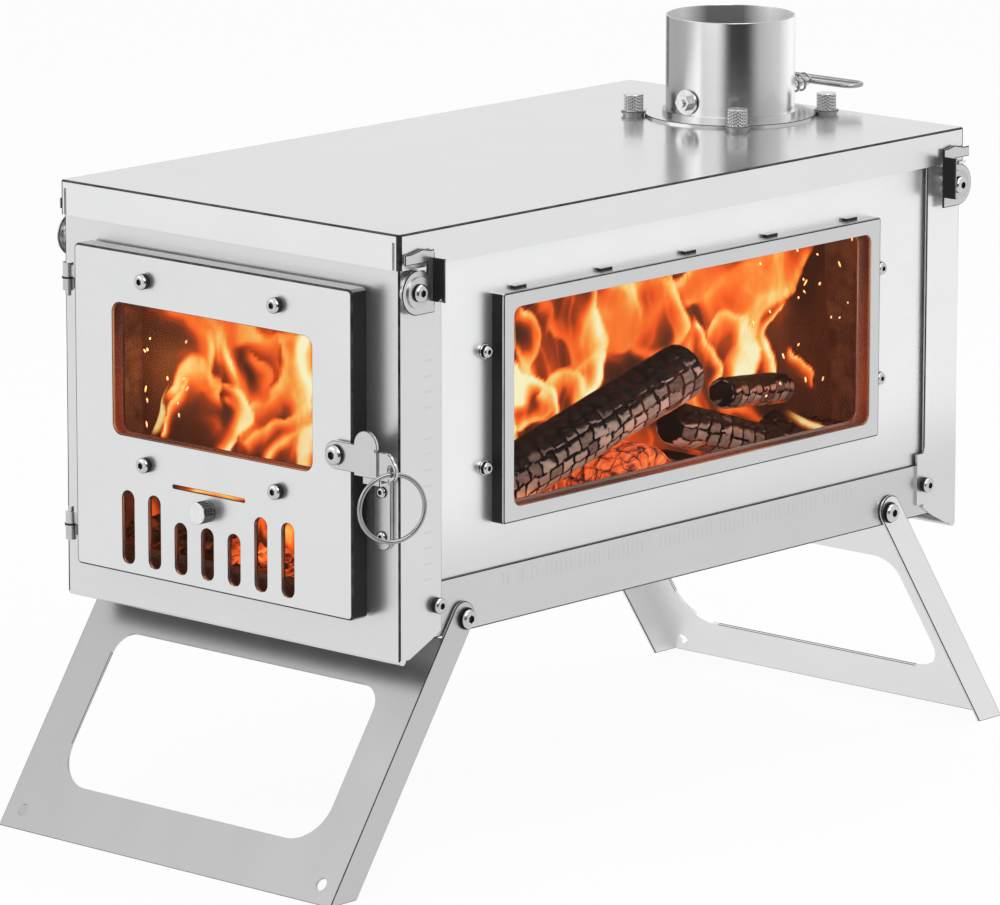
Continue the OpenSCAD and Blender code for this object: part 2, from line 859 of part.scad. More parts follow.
module door_bolts() {
    back = inner_plate_y + sheet_t;
    color(DARK) at_door_bolts() {
        bar_y([0, door_y - spacer_h - over, 0], shank_r, back + nut_h + over - door_y + spacer_h);
        bar_y([0, door_y - spacer_h, 0], head_r, spacer_h);
        translate([0, door_y - spacer_h, 0]) rotate([90, 0, 0]) button_head(head_r, head_h);
        translate([0, back, 0]) rotate([-90, 0, 0]) cylinder(h = nut_h, r = nut_r, $fn = 6);
    }
}

/* ---- Air inlet ---- */

module slide_guides() {
    lip_y = slide_y + slide_t + guide_gap;
    x = vent_x - slide_half - slide_travel - guide_end;
    length = 2 * slide_half + slide_travel + 2 * guide_end;
    depth = lip_y + leaf_t - door_y - sheet_t;
    color(STEEL) {
        translate([x, door_y + sheet_t, slide_top_z + guide_gap]) cube([length, depth, leaf_t]);
        translate([x, lip_y, slide_top_z + guide_gap - guide_lip]) cube([length, leaf_t, guide_lip]);
        translate([x, door_y + sheet_t, slide_low_z - guide_gap - leaf_t]) cube([length, depth, leaf_t]);
        translate([x, lip_y, slide_low_z - guide_gap]) cube([length, leaf_t, guide_low_lip]);
    }
}

module air_slide() {
    color(STEEL) difference() {
        along_y(slide_y, slide_t) translate([vent_x - slide_half, slide_low_z])
            square([2 * slide_half, slide_top_z - slide_low_z]);
        through_plate(slide_y) air_slots();
        hole_y(vent_x, knob_z, knob_pin_r);
    }
}

module air_knob() {
    color(DARK) {
        translate([vent_x, door_y - knob_gap, knob_z]) rotate([90, 0, 0])
            knurled(knob_d / 2, knob_l - knob_gap, knob_grooves);
        bar_y([vent_x, door_y - over, knob_z], shank_r - 2 * snug, slide_y - door_y + over);
        bar_y([vent_x, slide_y - 0.5, knob_z], knob_pin_r, slide_t + 1);
    }
}

/* ---- Hinges ---- */

module knuckle(z) {
    difference() {
        translate([hinge_x, hinge_y, z]) cylinder(h = knuckle_l, r = knuckle_r);
        translate([hinge_x, hinge_y, z - over]) cylinder(h = knuckle_l + 2 * over, r = hinge_pin_r + snug);
    }
}

// The door's knuckles: the leaf is welded to the door's edge
module door_hinge_knuckles() {
    color(STEEL) for (z = hinge_low_z) {
        top = z + knuckle_l + hinge_washer_t;
        knuckle(top);
        translate([hinge_x + knuckle_r - leaf_weld, hinge_y - leaf_t / 2, top])
            cube([-door_w / 2 - hinge_x - knuckle_r + leaf_weld, leaf_t, knuckle_l]);
    }
}

// The panel's knuckles: the leaf stands out of the front panel
module panel_hinge_knuckles() {
    color(STEEL) for (z = hinge_low_z) {
        knuckle(z);
        translate([hinge_x - leaf_t / 2, hinge_y + knuckle_r - leaf_weld, z])
            cube([leaf_t, front_y - hinge_y - knuckle_r + leaf_weld, knuckle_l]);
    }
}

module hinge_washers() {
    color(DARK) for (z = hinge_low_z) difference() {
        translate([hinge_x, hinge_y, z + knuckle_l]) cylinder(h = hinge_washer_t, r = knuckle_r + 0.4);
        translate([hinge_x, hinge_y, z + knuckle_l - over])
            cylinder(h = hinge_washer_t + 2 * over, r = hinge_pin_r);
    }
}

// The upper pin's tail points down, the lower one's up
module hinge_pins() {
    color(DARK) for (i = [0, 1]) translate([hinge_x, hinge_y, hinge_low_z[i] + hinge_l / 2])
        mirror([0, 0, 1 - i]) {
            translate([0, 0, -hinge_l / 2 - pin_tail])
                cylinder(h = hinge_l + pin_tail + pin_head_t / 2, r = hinge_pin_r);
            translate([0, 0, hinge_l / 2]) cylinder(h = pin_head_t, r = knuckle_r);
        }
}

/* ---- Latch ---- */

// Lever outline in (X, Z), counted from the latch pivot
module lever_outline() {
    mid = lever_mid_x - latch_x;
    circle(lever_w / 2);
    translate([0, -lever_w / 2]) square([mid, lever_w]);
    translate([mid, -lever_w / 2 - 1.2]) square([strip_x - lever_mid_x, lever_w + 1.2]);
    translate([mid + 6.8, lever_w / 2]) intersection() {
        circle(6.8);
        translate([-10, -1]) square([20, 10]);
    }
}

module latch_lever() {
    strip_y = lever_front_y + strip_step;
    color(STEEL) difference() {
        union() {
            along_y(lever_front_y, lever_t) translate([latch_x, latch_z]) lever_outline();
            translate([strip_x - 0.5, lever_front_y, latch_z - 8]) cube([1.7, lever_t + strip_step, lever_w]);
            translate([strip_x, strip_y, latch_z - 8]) cube([ear_x - strip_x, lever_t, lever_w]);
            translate([ear_x, strip_y, latch_z]) rotate([0, 0, -ear_fold])
                along_y(-0.06, lever_t + 0.06) lever_ear();
            translate([hook_x, lever_back_y, latch_z - 2]) cube([hook_w_lever, 3 * hook_t, hook_t]);
            translate([hook_x, lever_back_y + 2 * hook_t, latch_z - 7.5]) cube([hook_w_lever, hook_t, 6]);
        }
        hole_y(latch_x, latch_z, shank_r + snug);
        translate([ear_x, strip_y, latch_z]) rotate([0, 0, -ear_fold])
            bar_y([ring_hole[0], -3, ring_hole[1]], ring_hole_r, 8);
    }
}

// Ear at the lever's end: round upper corner and a lobe around the ring's hole
module lever_ear() {
    translate([-0.7, -7.8]) square([2.7, lever_w - 0.4]);
    translate([0.5, -5]) square([5, 5.5]);
    translate([1.5, 0]) intersection() {
        circle(4.2);
        square([6, 6]);
    }
    translate(ring_hole) circle(ring_hole_r + 1.8);
}

// Shouldered bolt that the lever turns on
module latch_bolt() {
    back = door_y + sheet_t;
    color(DARK) {
        bar_y([latch_x, lever_front_y - 1, latch_z], shank_r, back + nut_h + 1.8 - lever_front_y);
        bar_y([latch_x, lever_back_y + 0.1, latch_z], head_r + 0.6, door_y - lever_back_y - 0.1);
        translate([latch_x, lever_front_y - 0.1, latch_z]) rotate([90, 0, 0])
            button_head(latch_head_r, latch_head_h);
        translate([latch_x, back, latch_z]) rotate([-90, 0, 0]) cylinder(h = nut_h, r = nut_r, $fn = 6);
    }
}

// Ring that hangs from the lever's ear
module latch_ring() {
    color(STEEL) translate([hang_x, hang_y, hang_z - ring_r]) rotate([0, 0, ring_turn]) rotate([90, 0, 0])
        rotate_extrude($fn = 64) translate([ring_r, 0]) circle(ring_wire / 2, $fn = 24);
}

// Strike plate on the front panel, its upper end bent forwards as a lip
module keeper() {
    color(STEEL) difference() {
        union() {
            along_y(front_y - keeper_t, keeper_t) union() {
                translate([keeper_x, keeper_low_z + keeper_w / 2])
                    square([keeper_w, keeper_top_z - keeper_low_z - keeper_w / 2]);
                translate([keeper_mid_x, keeper_low_z + keeper_w / 2]) circle(keeper_w / 2);
            }
            translate([keeper_x, keeper_lip_y + sheet_t, keeper_lip_z])
                cube([keeper_w, front_y - keeper_lip_y - sheet_t, sheet_t]);
            translate([keeper_x, keeper_lip_y, keeper_lip_z]) cube([keeper_w, sheet_t, keeper_lip_h]);
        }
        for (z = keeper_screw_z) hole_y(keeper_mid_x, z, keeper_hole_r);
    }
}

module keeper_screws() {
    color(DARK) for (z = keeper_screw_z) translate([keeper_mid_x, front_y - keeper_t, z]) {
        rotate([90, 0, 0]) button_head(2.6, 1.6);
        bar_y([0, -0.5, 0], keeper_screw_r, 7);
    }
}

/* ---- Firebox ---- */

module grate() {
    length = rear_in_y - front_in_y - 2 * sheet_t - 2 * grate_end;
    y = front_in_y + sheet_t + grate_end;
    width = 2 * (wall_in_x - nut_h - grate_side);
    pitch = length / grate_slots;
    color(DARK) difference() {
        union() {
            translate([-width / 2, y, grate_z - grate_t]) cube([width, length, grate_t]);
            for (x = [-width / 2, width / 2 - grate_t])
                translate([x, y, floor_in_z]) cube([grate_t, length, grate_up]);
        }
        for (i = [0 : grate_slots - 1])
            translate([grate_rim - width / 2, y + (i + 0.5) * pitch - grate_slot_w / 2, grate_z - 2 * grate_t])
                cube([width - 2 * grate_rim, grate_slot_w, 4 * grate_t]);
    }
}

// Plate under the flue, with its sides bent down against the walls
module baffle() {
    z = lid_z - baffle_down;
    color(DARK) {
        translate([-wall_in_x, rear_in_y - baffle_l, z]) cube([2 * wall_in_x, baffle_l, baffle_t]);
        both_sides() translate([wall_in_x - baffle_t, rear_in_y - baffle_l, z - baffle_side])
            cube([baffle_t, baffle_l, baffle_side + baffle_t]);
    }
}

// A log from one point of its axis to another
module log_between(start, end, r) {
    way = end - start;
    translate(start) rotate([0, acos(way[2] / norm(way)), atan2(way[1], way[0])])
        cylinder(h = norm(way), r = r);
}

// Four logs lie across the grate, a long one leans on the first two, two more lie behind it
module firewood() {
    color(WOOD) {
        for (log = cross_logs) translate([-cross_half, log[0], grate_z + log[1]])
            rotate([0, 90, 0]) cylinder(h = 2 * cross_half, r = log[1]);
        translate([long_log_x, long_log_y, long_log_z]) rotate([long_lean - 90, 0, 0])
            cylinder(h = long_log_l, r = long_log_r);
        log_between(back_log_from, back_log_to, back_log_r);
        log_between(top_log_from, top_log_to, top_log_r);
    }
}

// Upper edge of a row of flames in (along, Z): tongues with pointed tips that lean onwards
function flame_crest(from, to, phase) =
    let (count = round((to - from) / flame_w), pitch = (to - from) / count)
    [for (i = [0 : count - 1], step = [0 : flame_steps - 1])
        let (u = step / flame_steps, rise = pow(1 - abs(2 * u - 1), 1.5))
        [from + (i + u + flame_curl * rise) * pitch,
         flame_valley_z + (flame_top_z - flame_valley_z) * rise * (0.78 + 0.22 * sin(phase + 97 * i))]];

// A row of flames that stands on the grate
module flame_row(from, to, phase) {
    polygon(concat(flame_crest(from, to, phase), [[to, flame_valley_z], [to, grate_z], [from, grate_z]]));
}

module flames_right() {
    color(FIRE) for (row = flame_rows) along_x(row[0] - flame_t / 2, flame_t) difference() {
        flame_row(flame_side_y, row[1], 3 * row[0]);
        for (log = cross_logs) translate([log[0], grate_z + log[1]]) circle(log[1] + log_gap);
    }
}

module flames_left() {
    at_left() flames_right();
}

module flames_front() {
    end_z = long_log_z + (flame_front_y - long_log_y) * tan(long_lean);
    color(FIRE) along_y(flame_front_y - flame_t / 2, flame_t) difference() {
        flame_row(-flame_front_x, flame_front_x, 40);
        translate([long_log_x, end_z]) circle(long_log_r / cos(long_lean) + 1);
    }
}

/* ---- Flue ---- */

module flue_collar() {
    color(STEEL) translate([0, flue_y, 0]) difference() {
        union() {
            translate([0, 0, lid_z]) cylinder(h = collar_h, r = collar_r, $fn = 96);
            translate([0, 0, lid_z + sheet_t]) cylinder(h = weld_h, r = weld_r, $fn = 96);
        }
        translate([0, 0, lid_z - over]) cylinder(h = bead_z + over, r = bore_r, $fn = 96);
        translate([0, 0, lid_z + bead_z - 0.01]) cylinder(h = bead_h + 0.02, r = bead_r, $fn = 96);
        translate([0, 0, lid_z + bead_z + bead_h]) cylinder(h = collar_h, r = bore_r, $fn = 96);
        bar_y([0, -loop_y, lid_z + rod_z], rod_hole_r, 2 * loop_y);
    }
}

module flue_flange() {
    color(STEEL) translate([0, flue_y, lid_z]) difference() {
        cylinder(h = sheet_t, r = flange_r, $fn = 96);
        translate([0, 0, -over]) cylinder(h = sheet_t + 2 * over, r = collar_r + snug, $fn = 96);
    }
}

// Shouldered washers that hold the flange disc's edge down
module thumb_washers() {
    color(STEEL) at_thumb_screws() translate([0, 0, lid_z]) difference() {
        union() {
            cylinder(h = sheet_t, r = thumb_seat_r);
            translate([0, 0, sheet_t]) cylinder(h = thumb_washer_t, r = thumb_seat_r + washer_reach);
        }
        translate([0, 0, -over]) cylinder(h = sheet_t + thumb_washer_t + 2 * over, r = hole_r);
    }
}

module thumb_screws() {
    color(STEEL) at_thumb_screws() {
        translate([0, 0, lid_z + sheet_t + thumb_washer_t]) knurled(thumb_d / 2, thumb_h, thumb_grooves);
        translate([0, 0, under_lid_z - nut_h - over])
            cylinder(h = 2 * sheet_t + nut_h + 4 * over, r = shank_r);
        translate([0, 0, under_lid_z - nut_h]) cylinder(h = nut_h, r = nut_r, $fn = 6);
    }
}

/* ---- Damper ---- */

// Plate under the rod, with two saddles around it
module damper_disc() {
    color(STEEL) translate([0, flue_y, lid_z + rod_z]) difference() {
        union() {
            translate([0, 0, -rod_d / 2 - sheet_t]) cylinder(h = sheet_t, r = disc_r, $fn = 96);
            for (y = [-saddle_out - saddle_l, saddle_out]) {
                bar_y([0, y, 0], rod_d / 2 + sheet_t, saddle_l);
                translate([-saddle_foot / 2, y, -rod_d / 2 - sheet_t / 2])
                    cube([saddle_foot, saddle_l, sheet_t]);
            }
        }
        bar_y([0, -bore_r, 0], rod_d / 2 + snug, 2 * bore_r);
        for (a = [30 : 60 : 330]) rotate([0, 0, a])
            translate([disc_hole_ring, 0, -bore_r]) cylinder(h = 2 * bore_r, r = disc_hole_r);
    }
}

module damper_rod() {
    color(STEEL) bar_y([0, flue_y - rod_side - rod_washer_t - rod_front, lid_z + rod_z], rod_d / 2,
        rod_side + rod_washer_t + rod_front + loop_y + rod_end);
}

module damper_washers() {
    color(STEEL) translate([0, flue_y, lid_z + rod_z]) difference() {
        union() {
            bar_y([0, -rod_side - rod_washer_t, 0], front_washer_r, rod_washer_t);
            bar_y([0, rod_side, 0], rear_washer_r, rod_washer_t);
        }
        bar_y([0, -loop_y, 0], rod_d / 2 + snug, 2 * loop_y);
    }
}

module damper_nut() {
    y = flue_y - rod_side - rod_washer_t;
    color(DARK) translate([0, y, lid_z + rod_z]) rotate([90, 0, 0]) difference() {
        cylinder(h = rod_nut_h, r = nut_r, $fn = 6);
        translate([0, 0, -over]) cylinder(h = rod_nut_h + 2 * over, r = rod_d / 2);
    }
}

// Outer shape of the coil spring on the rod
module damper_spring() {
    color(STEEL) translate([0, flue_y + rod_side + rod_washer_t, lid_z + rod_z]) difference() {
        bar_y([0, 0, 0], spring_r, spring_l);
        bar_y([0, -over, 0], rod_d / 2 + 0.5, spring_l + 2 * over);
    }
}

// Closed wire loop to turn the damper by, welded to the rod's end
module damper_loop() {
    r = loop_wire / 2;
    bend = loop_d / 2 - r;
    straight = loop_w - loop_d;
    color(STEEL) translate([0, flue_y + loop_y + loop_d / 2, lid_z + rod_z]) difference() {
        union() {
            for (y = [-bend, bend]) bar_x([-straight / 2, y, 0], r, straight);
            for (side = [-1, 1]) translate([side * straight / 2, 0, 0]) rotate([0, 0, side > 0 ? -90 : 90])
                rotate_extrude(angle = 180) translate([bend, 0]) circle(r, $fn = 24);
        }
        bar_y([0, -loop_d, 0], rod_d / 2, loop_d / 2 + rod_end);
    }
}

/* ---- Legs ---- */

// A leg's own frame: pivot at the origin, hanging down -Z, its face towards -Y
module leg_body() {
    plate_l = leg_len - leg_plate_top;
    arm_mid = leg_face - leg_arm / 2;
    low = -leg_len - leg_extra;
    difference() {
        union() {
            translate([-leg_out_x, -leg_face, low]) cube([2 * leg_out_x, leg_t, plate_l + leg_extra]);
            both_sides() along_x(leg_in_x, leg_t) union() {
                translate([-leg_face, low]) square([leg_arm, -low]);
                translate([-arm_mid, 0]) circle(leg_arm / 2);
            }
        }
        along_y(-drill, 2 * drill) translate([0, -leg_len]) leg_opening();
        for (side = [-1, 1]) hole_y(side * (leg_hole_w / 2 + peg_out), -leg_len + peg_up, peg_d / 2);
        both_sides() hole_x(0, 0, leg_bolt_r + hole_r - shank_r);
    }
}

// Opening of a leg: wide round corners below, tighter ones above
module leg_opening() {
    half = leg_hole_w / 2;
    intersection() {
        round_rect([-half, leg_hole_low], [half, leg_hole_high + 2 * leg_low_r], leg_low_r);
        round_rect([-half, leg_hole_low - 2 * leg_high_r], [half, leg_hole_high], leg_high_r);
    }
}

// A leg opened forwards, its feet cut off level at the floor
module open_leg(y, facing) {
    difference() {
        translate([0, y, pivot_z]) turned_to(facing) rotate([-leg_open, 0, 0]) leg_body();
        translate([-body_w, -body_l, -leg_len]) cube([2 * body_w, 3 * body_l, leg_len]);
    }
}

// Turns a front leg or clip into a rear one
module turned_to(facing) {
    if (facing > 0) mirror([0, 1, 0]) children();
    else children();
}

module front_leg() {
    color(STEEL) open_leg(leg_front_y, -1);
}

module rear_leg() {
    color(STEEL) open_leg(body_l - leg_rear_y, 1);
}

module at_leg_pivots() {
    for (y = [leg_front_y, body_l - leg_rear_y]) both_sides() translate([0, y, pivot_z]) children();
}

module leg_bolts() {
    color(DARK) at_leg_pivots() {
        bar_x([wall_in_x - nut_h - over, 0, 0], leg_bolt_r, leg_out_x - wall_in_x + nut_h + 2 * over);
        wall_nut();
        translate([leg_out_x + leg_slack + leg_washer_t, 0, 0]) rotate([0, 90, 0])
            button_head(leg_bolt_head_r, leg_bolt_head_h);
    }
}

module leg_washers() {
    color(DARK) at_leg_pivots() difference() {
        union() {
            bar_x([leg_out_x + leg_slack, 0, 0], leg_washer_r, leg_washer_t);
            bar_x([tray_x, 0, 0], leg_washer_r, leg_in_x - tray_x - leg_slack);
        }
        hole_x(0, 0, leg_bolt_r);
    }
}

module at_flange_bolts() {
    for (y = [flange_bolt_front_y, flange_bolt_rear_y])
        both_sides() translate([0, y, tray_z + flange_bolt_up]) children();
}

module flange_bolts() {
    color(DARK) at_flange_bolts() {
        bar_x([wall_in_x - nut_h - over, 0, 0], shank_r, flange_x - wall_in_x + nut_h + 2 * over);
        bar_x([flange_x, 0, 0], head_r, spacer_h);
        translate([flange_x + spacer_h, 0, 0]) rotate([0, 90, 0]) button_head(head_r, head_h);
        wall_nut();
    }
}

// Hex nut behind the side wall
module wall_nut() {
    translate([wall_in_x - nut_h, 0, 0]) rotate([0, 90, 0]) cylinder(h = nut_h, r = nut_r, $fn = 6);
}

/* ---- Lid clips ---- */

// Clip outline in (Y, Z) about its bolt: round end, tongue over the lid's tab, open forwards
module clip_outline() {
    circle(clip_r);
    translate([0, -clip_r]) square([clip_back, clip_r + 1]);
    intersection() {
        translate([lid_tab_l / 2 + 3.5, 0]) square([clip_back - lid_tab_l / 2 - 3.5, tongue_high - 1]);
        square([clip_back, tongue_high]);
    }
    difference() {
        translate([-8.2, tongue_low]) square([clip_back + 8.2, tongue_high - tongue_low - 1.4]);
        circle(sqrt(pow(tongue_low, 2) + 1));
    }
    polygon([
        [-4.6, tongue_high - 1.5], [3, tongue_high], [clip_back - 1, tongue_high - 1.4], [0, tongue_low + 1]
    ]);
}

module clip_right(y, facing) {
    color(STEEL) translate([0, y, clip_z]) turned_to(facing) difference() {
        union() {
            along_x(clip_x, clip_t) clip_outline();
            translate([clip_x, clip_back - clip_t, -clip_tab_low])
                cube([clip_t + clip_tab, clip_t, clip_tab_h]);
        }
        translate([clip_x + clip_t + clip_tab - 2, clip_back - 3, -clip_tab_low - 1]) rotate([0, 45, 0])
            cube([4, 5, 4], center = true);
        hole_x(0, 0, hole_r);
    }
}

module clip_front_right() {
    clip_right(clip_front_y, -1);
}

module clip_front_left() {
    at_left() clip_right(clip_front_y, -1);
}

module clip_rear_right() {
    clip_right(body_l - clip_rear_y, 1);
}

module clip_rear_left() {
    at_left() clip_right(body_l - clip_rear_y, 1);
}

module at_clips() {
    for (y = [clip_front_y, body_l - clip_rear_y]) both_sides() translate([0, y, clip_z]) children();
}

module clip_bolts() {
    color(DARK) at_clips() {
        bar_x([wall_in_x - nut_h - over, 0, 0], shank_r, clip_x + clip_t + 2 - wall_in_x + nut_h + over);
        translate([clip_x + clip_t + clip_slack + clip_washer_t, 0, 0]) rotate([0, 90, 0])
            button_head(clip_head_r, clip_head_h);
        wall_nut();
    }
}

module clip_washers() {
    color(STEEL) at_clips() difference() {
        union() {
            bar_x([flange_x, 0, 0], clip_washer_r, clip_x - flange_x - clip_slack);
            bar_x([clip_x + clip_t + clip_slack, 0, 0], clip_washer_r - 1, clip_washer_t);
        }
        hole_x(0, 0, shank_r);
    }
}

placed() lid();
placed() front_panel();
placed() rear_panel();
placed() tray();
placed() side_wall_left();
placed() side_wall_right();
placed() window_frame_left();
placed() window_frame_right();
placed() window_glass_left();
placed() window_glass_right();
placed() window_gaskets_left();
placed() window_gaskets_right();
placed() window_bolts();
placed() door_shell();
placed() door_inner_plate();
placed() door_glass();
placed() door_gasket();
placed() door_glass_gaskets();
placed() door_bolts();
placed() slide_guides();
placed() air_slide();
placed() air_knob();
placed() door_hinge_knuckles();
placed() panel_hinge_knuckles();
placed() hinge_pins();
placed() hinge_washers();
placed() latch_lever();
placed() latch_bolt();
placed() latch_ring();
placed() keeper();
placed() keeper_screws();
placed() grate();
placed() baffle();
placed() firewood();
placed() flames_left();
placed() flames_right();
placed() flames_front();
placed() flue_collar();
placed() flue_flange();
placed() thumb_screws();
placed() thumb_washers();
placed() damper_disc();
placed() damper_rod();
placed() damper_washers();
placed() damper_nut();
placed() damper_spring();
placed() damper_loop();
placed() front_leg();
placed() rear_leg();
placed() leg_bolts();
placed() leg_washers();
placed() flange_bolts();
placed() clip_front_left();
placed() clip_front_right();
placed() clip_rear_left();
placed() clip_rear_right();
placed() clip_bolts();
placed() clip_washers();
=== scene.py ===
"""Looks of the tent wood stove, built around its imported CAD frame."""
import bpy
import bmesh
import math
import random
from mathutils import Matrix, Vector, noise


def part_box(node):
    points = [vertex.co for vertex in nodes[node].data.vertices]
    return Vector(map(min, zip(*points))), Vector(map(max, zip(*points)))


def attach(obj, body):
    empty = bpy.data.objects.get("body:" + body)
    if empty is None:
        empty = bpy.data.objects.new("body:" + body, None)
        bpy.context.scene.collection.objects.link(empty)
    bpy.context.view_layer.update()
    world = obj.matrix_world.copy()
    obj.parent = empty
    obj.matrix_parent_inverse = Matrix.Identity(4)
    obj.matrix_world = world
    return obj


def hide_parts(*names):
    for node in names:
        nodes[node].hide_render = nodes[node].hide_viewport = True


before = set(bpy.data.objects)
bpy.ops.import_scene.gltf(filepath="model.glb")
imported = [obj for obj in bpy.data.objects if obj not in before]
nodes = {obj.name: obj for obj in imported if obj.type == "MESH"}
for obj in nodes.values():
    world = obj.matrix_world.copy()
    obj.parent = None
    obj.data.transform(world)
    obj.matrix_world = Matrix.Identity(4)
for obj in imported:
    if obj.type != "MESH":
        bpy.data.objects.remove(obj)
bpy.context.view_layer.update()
MM = 0.001
COLLAR_RADIUS = 0.0307
noise.seed_set(5)   # the fire and the bark are the same each run


# ---- Camera ----

def set_camera():
    """The photograph's view: from the front right, a little above the lid."""
    lens = bpy.data.cameras.new("camera")
    lens.sensor_width = 36
    lens.lens = 260.753
    lens.clip_end = 20
    eye = bpy.data.objects.new("camera", lens)
    bpy.context.scene.collection.objects.link(eye)
    turn = Matrix.Rotation(math.radians(42.321), 4, "Z") @ Matrix.Rotation(math.radians(90 - 11.998), 4, "X")
    roll = Matrix.Rotation(math.radians(0.067), 4, "Z")
    eye.matrix_world = Matrix.Translation((2.20908, -2.44012, 0.85151)) @ turn @ roll
    bpy.context.scene.camera = eye


# ---- Finishes ----

class Tone:
    """A shader socket that Python sums work on."""

    def __init__(self, finish, socket):
        self.finish, self.socket = finish, socket

    def sum(self, operation, *values):
        return self.finish.node("ShaderNodeMath", {"operation": operation}, dict(enumerate(values)))

    def __add__(self, other):
        return self.sum("ADD", self, other)

    def __radd__(self, other):
        return self.sum("ADD", other, self)

    def __sub__(self, other):
        return self.sum("SUBTRACT", self, other)

    def __rsub__(self, other):
        return self.sum("SUBTRACT", other, self)

    def __mul__(self, other):
        return self.sum("MULTIPLY", self, other)

    def __rmul__(self, other):
        return self.sum("MULTIPLY", other, self)

    def __truediv__(self, other):
        return self.sum("DIVIDE", self, other)

    def __pow__(self, other):
        return self.sum("POWER", self, other)

    def __abs__(self):
        return self.sum("ABSOLUTE", self)

    def rise(self, low, high):
        """0 at low, 1 at high, smooth between, either way round."""
        return self.finish.node("ShaderNodeMapRange", {"interpolation_type": "SMOOTHSTEP"},
                                {"Value": self, "From Min": low, "From Max": high})

    def sine(self):
        return self.sum("SINE", self)

    def fraction(self):
        return self.sum("FRACT", self)

    def most(self, other):
        return self.sum("MAXIMUM", self, other)

    def least(self, other):
        return self.sum("MINIMUM", self, other)

    def ramp(self, *stops):
        """Colour along (place, colour) stops."""
        return self.finish.node("ShaderNodeValToRGB", {"stops": stops}, {"Fac": self})


class Finish:
    """One material of the stove."""

    def __init__(self, name, **constants):
        self.material = bpy.data.materials.new(name)
        self.material.use_nodes = True
        self.tree = self.material.node_tree
        self.tree.nodes.clear()
        self.shader = self.tree.nodes.new("ShaderNodeBsdfPrincipled")
        self.output = self.tree.nodes.new("ShaderNodeOutputMaterial")
        self.tree.links.new(self.shader.outputs[0], self.output.inputs["Surface"])
        for name, value in constants.items():
            self.set(name.replace("_", " "), value)

    def set(self, name, value):
        """Gives one of the shader's sockets a value or a Tone."""
        socket = self.shader.inputs[name]
        if isinstance(value, Tone):
            self.tree.links.new(value.socket, socket)
        else:
            socket.default_value = value

    def node(self, kind, settings=None, sockets=None, output=0):
        made = self.tree.nodes.new(kind)
        for name, value in (settings or {}).items():
            if name == "stops":
                stops = made.color_ramp.elements
                for _ in value[2:]:
                    stops.new(1)
                for stop, (place, colour) in zip(stops, value):
                    stop.position, stop.color = place, (*colour, 1)
            else:
                setattr(made, name, value)
        for name, value in (sockets or {}).items():
            if isinstance(value, Tone):
                self.tree.links.new(value.socket, made.inputs[name])
            else:
                made.inputs[name].default_value = value
        return Tone(self, made.outputs[output])

    def place(self):
        """Where a point is on the piece, in metres."""
        return self.node("ShaderNodeTexCoord", output="Object")

    def axes(self, vector):
        parts = self.node("ShaderNodeSeparateXYZ", sockets={0: vector}).socket.node.outputs
        return [Tone(self, part) for part in parts]

    def stretched(self, vector, scale):
        return self.node("ShaderNodeVectorMath", {"operation": "MULTIPLY"}, {0: vector, 1: scale})

    def shifted(self, vector, other):
        return self.node("ShaderNodeVectorMath", {"operation": "ADD"}, {0: vector, 1: other})

    def noise(self, vector, scale, detail=3, roughness=0.5):
        return self.node("ShaderNodeTexNoise", sockets={
            "Vector": vector, "Scale": scale, "Detail": detail, "Roughness": roughness})

    def swirl(self, vector, scale, amount):
        """The place, pushed about by a cloud of that scale."""
        cloud = self.node("ShaderNodeTexNoise", sockets={"Vector": vector, "Scale": scale, "Detail": 2},
                          output="Color")
        centred = self.node("ShaderNodeVectorMath", {"operation": "SUBTRACT"}, {0: cloud, 1: (0.5, 0.5, 0.5)})
        return self.shifted(vector, self.stretched(centred, (amount, amount, amount)))

    def mix(self, factor, a, b):
        return self.node("ShaderNodeMix", {"data_type": "RGBA"}, {0: factor, 6: a, 7: b}, output=2)

    def bump(self, height, strength, distance):
        return self.node("ShaderNodeBump", sockets={
            "Height": height, "Strength": strength, "Distance": distance})


def rgb(r, g, b):
    return (r, g, b, 1)


def steel_finish(name, grey, rough, grain, soot=None, ticks=None, painted_shade=None):
    """Stainless sheet: brushed grain, faint clouds, soot on the side that faces the fire with a painted firelight glow
    in it, and painted shade where a shade mask is given.
    """
    steel = Finish(name, Metallic=0.92)
    place = steel.place()
    streak = steel.noise(steel.stretched(place, grain), 1, 4, 0.65)
    cloud = steel.noise(place, 22, 3)
    smear = steel.noise(steel.stretched(place, (40, 40, 9)), 1, 2)
    light = 0.965 + 0.05 * streak + 0.045 * cloud
    colour = steel.mix(light.rise(0.97, 1.06), rgb(grey * 0.93, grey * 0.935, grey * 0.94),
                       rgb(grey * 1.02, grey * 1.02, grey * 1.015))
    roughness = rough + 0.1 * (streak - 0.5) + 0.08 * (smear - 0.5)
    # Painted shade: the grey darkens as far as the given mask asks.
    if painted_shade:
        colour = steel.mix(painted_shade(*steel.axes(place)), colour, rgb(grey * 0.6, grey * 0.6, grey * 0.6))
    if ticks:
        mark = ticks(steel, place)
        colour = steel.mix(mark, colour, rgb(0.5, 0.5, 0.5))
    if soot:
        x, y, z = steel.axes(place)
        black = soot(x, y, z)
        flecks = steel.noise(place, 90, 5, 0.7)
        burnt = steel.mix(flecks.rise(0.3, 0.8), rgb(0.012, 0.009, 0.008), rgb(0.085, 0.05, 0.035))
        colour = steel.mix(black, colour, burnt)
        roughness = roughness + black * 0.4
        steel.set("Metallic", 0.92 - black * 0.7)
        # Painted firelight: the sooty faces emit a faint warm glow.
        steel.set("Emission Strength", 1.0)
        painted_glow = steel.mix(flecks.rise(0.25, 0.8), rgb(0.035, 0.008, 0.004), rgb(0.085, 0.019, 0.008))
        steel.set("Emission Color", steel.mix(black, rgb(0, 0, 0), painted_glow))
    steel.set("Base Color", colour)
    steel.set("Roughness", roughness)
    steel.set("Normal", steel.bump(streak, 0.06, 0.0002))
    return steel.material


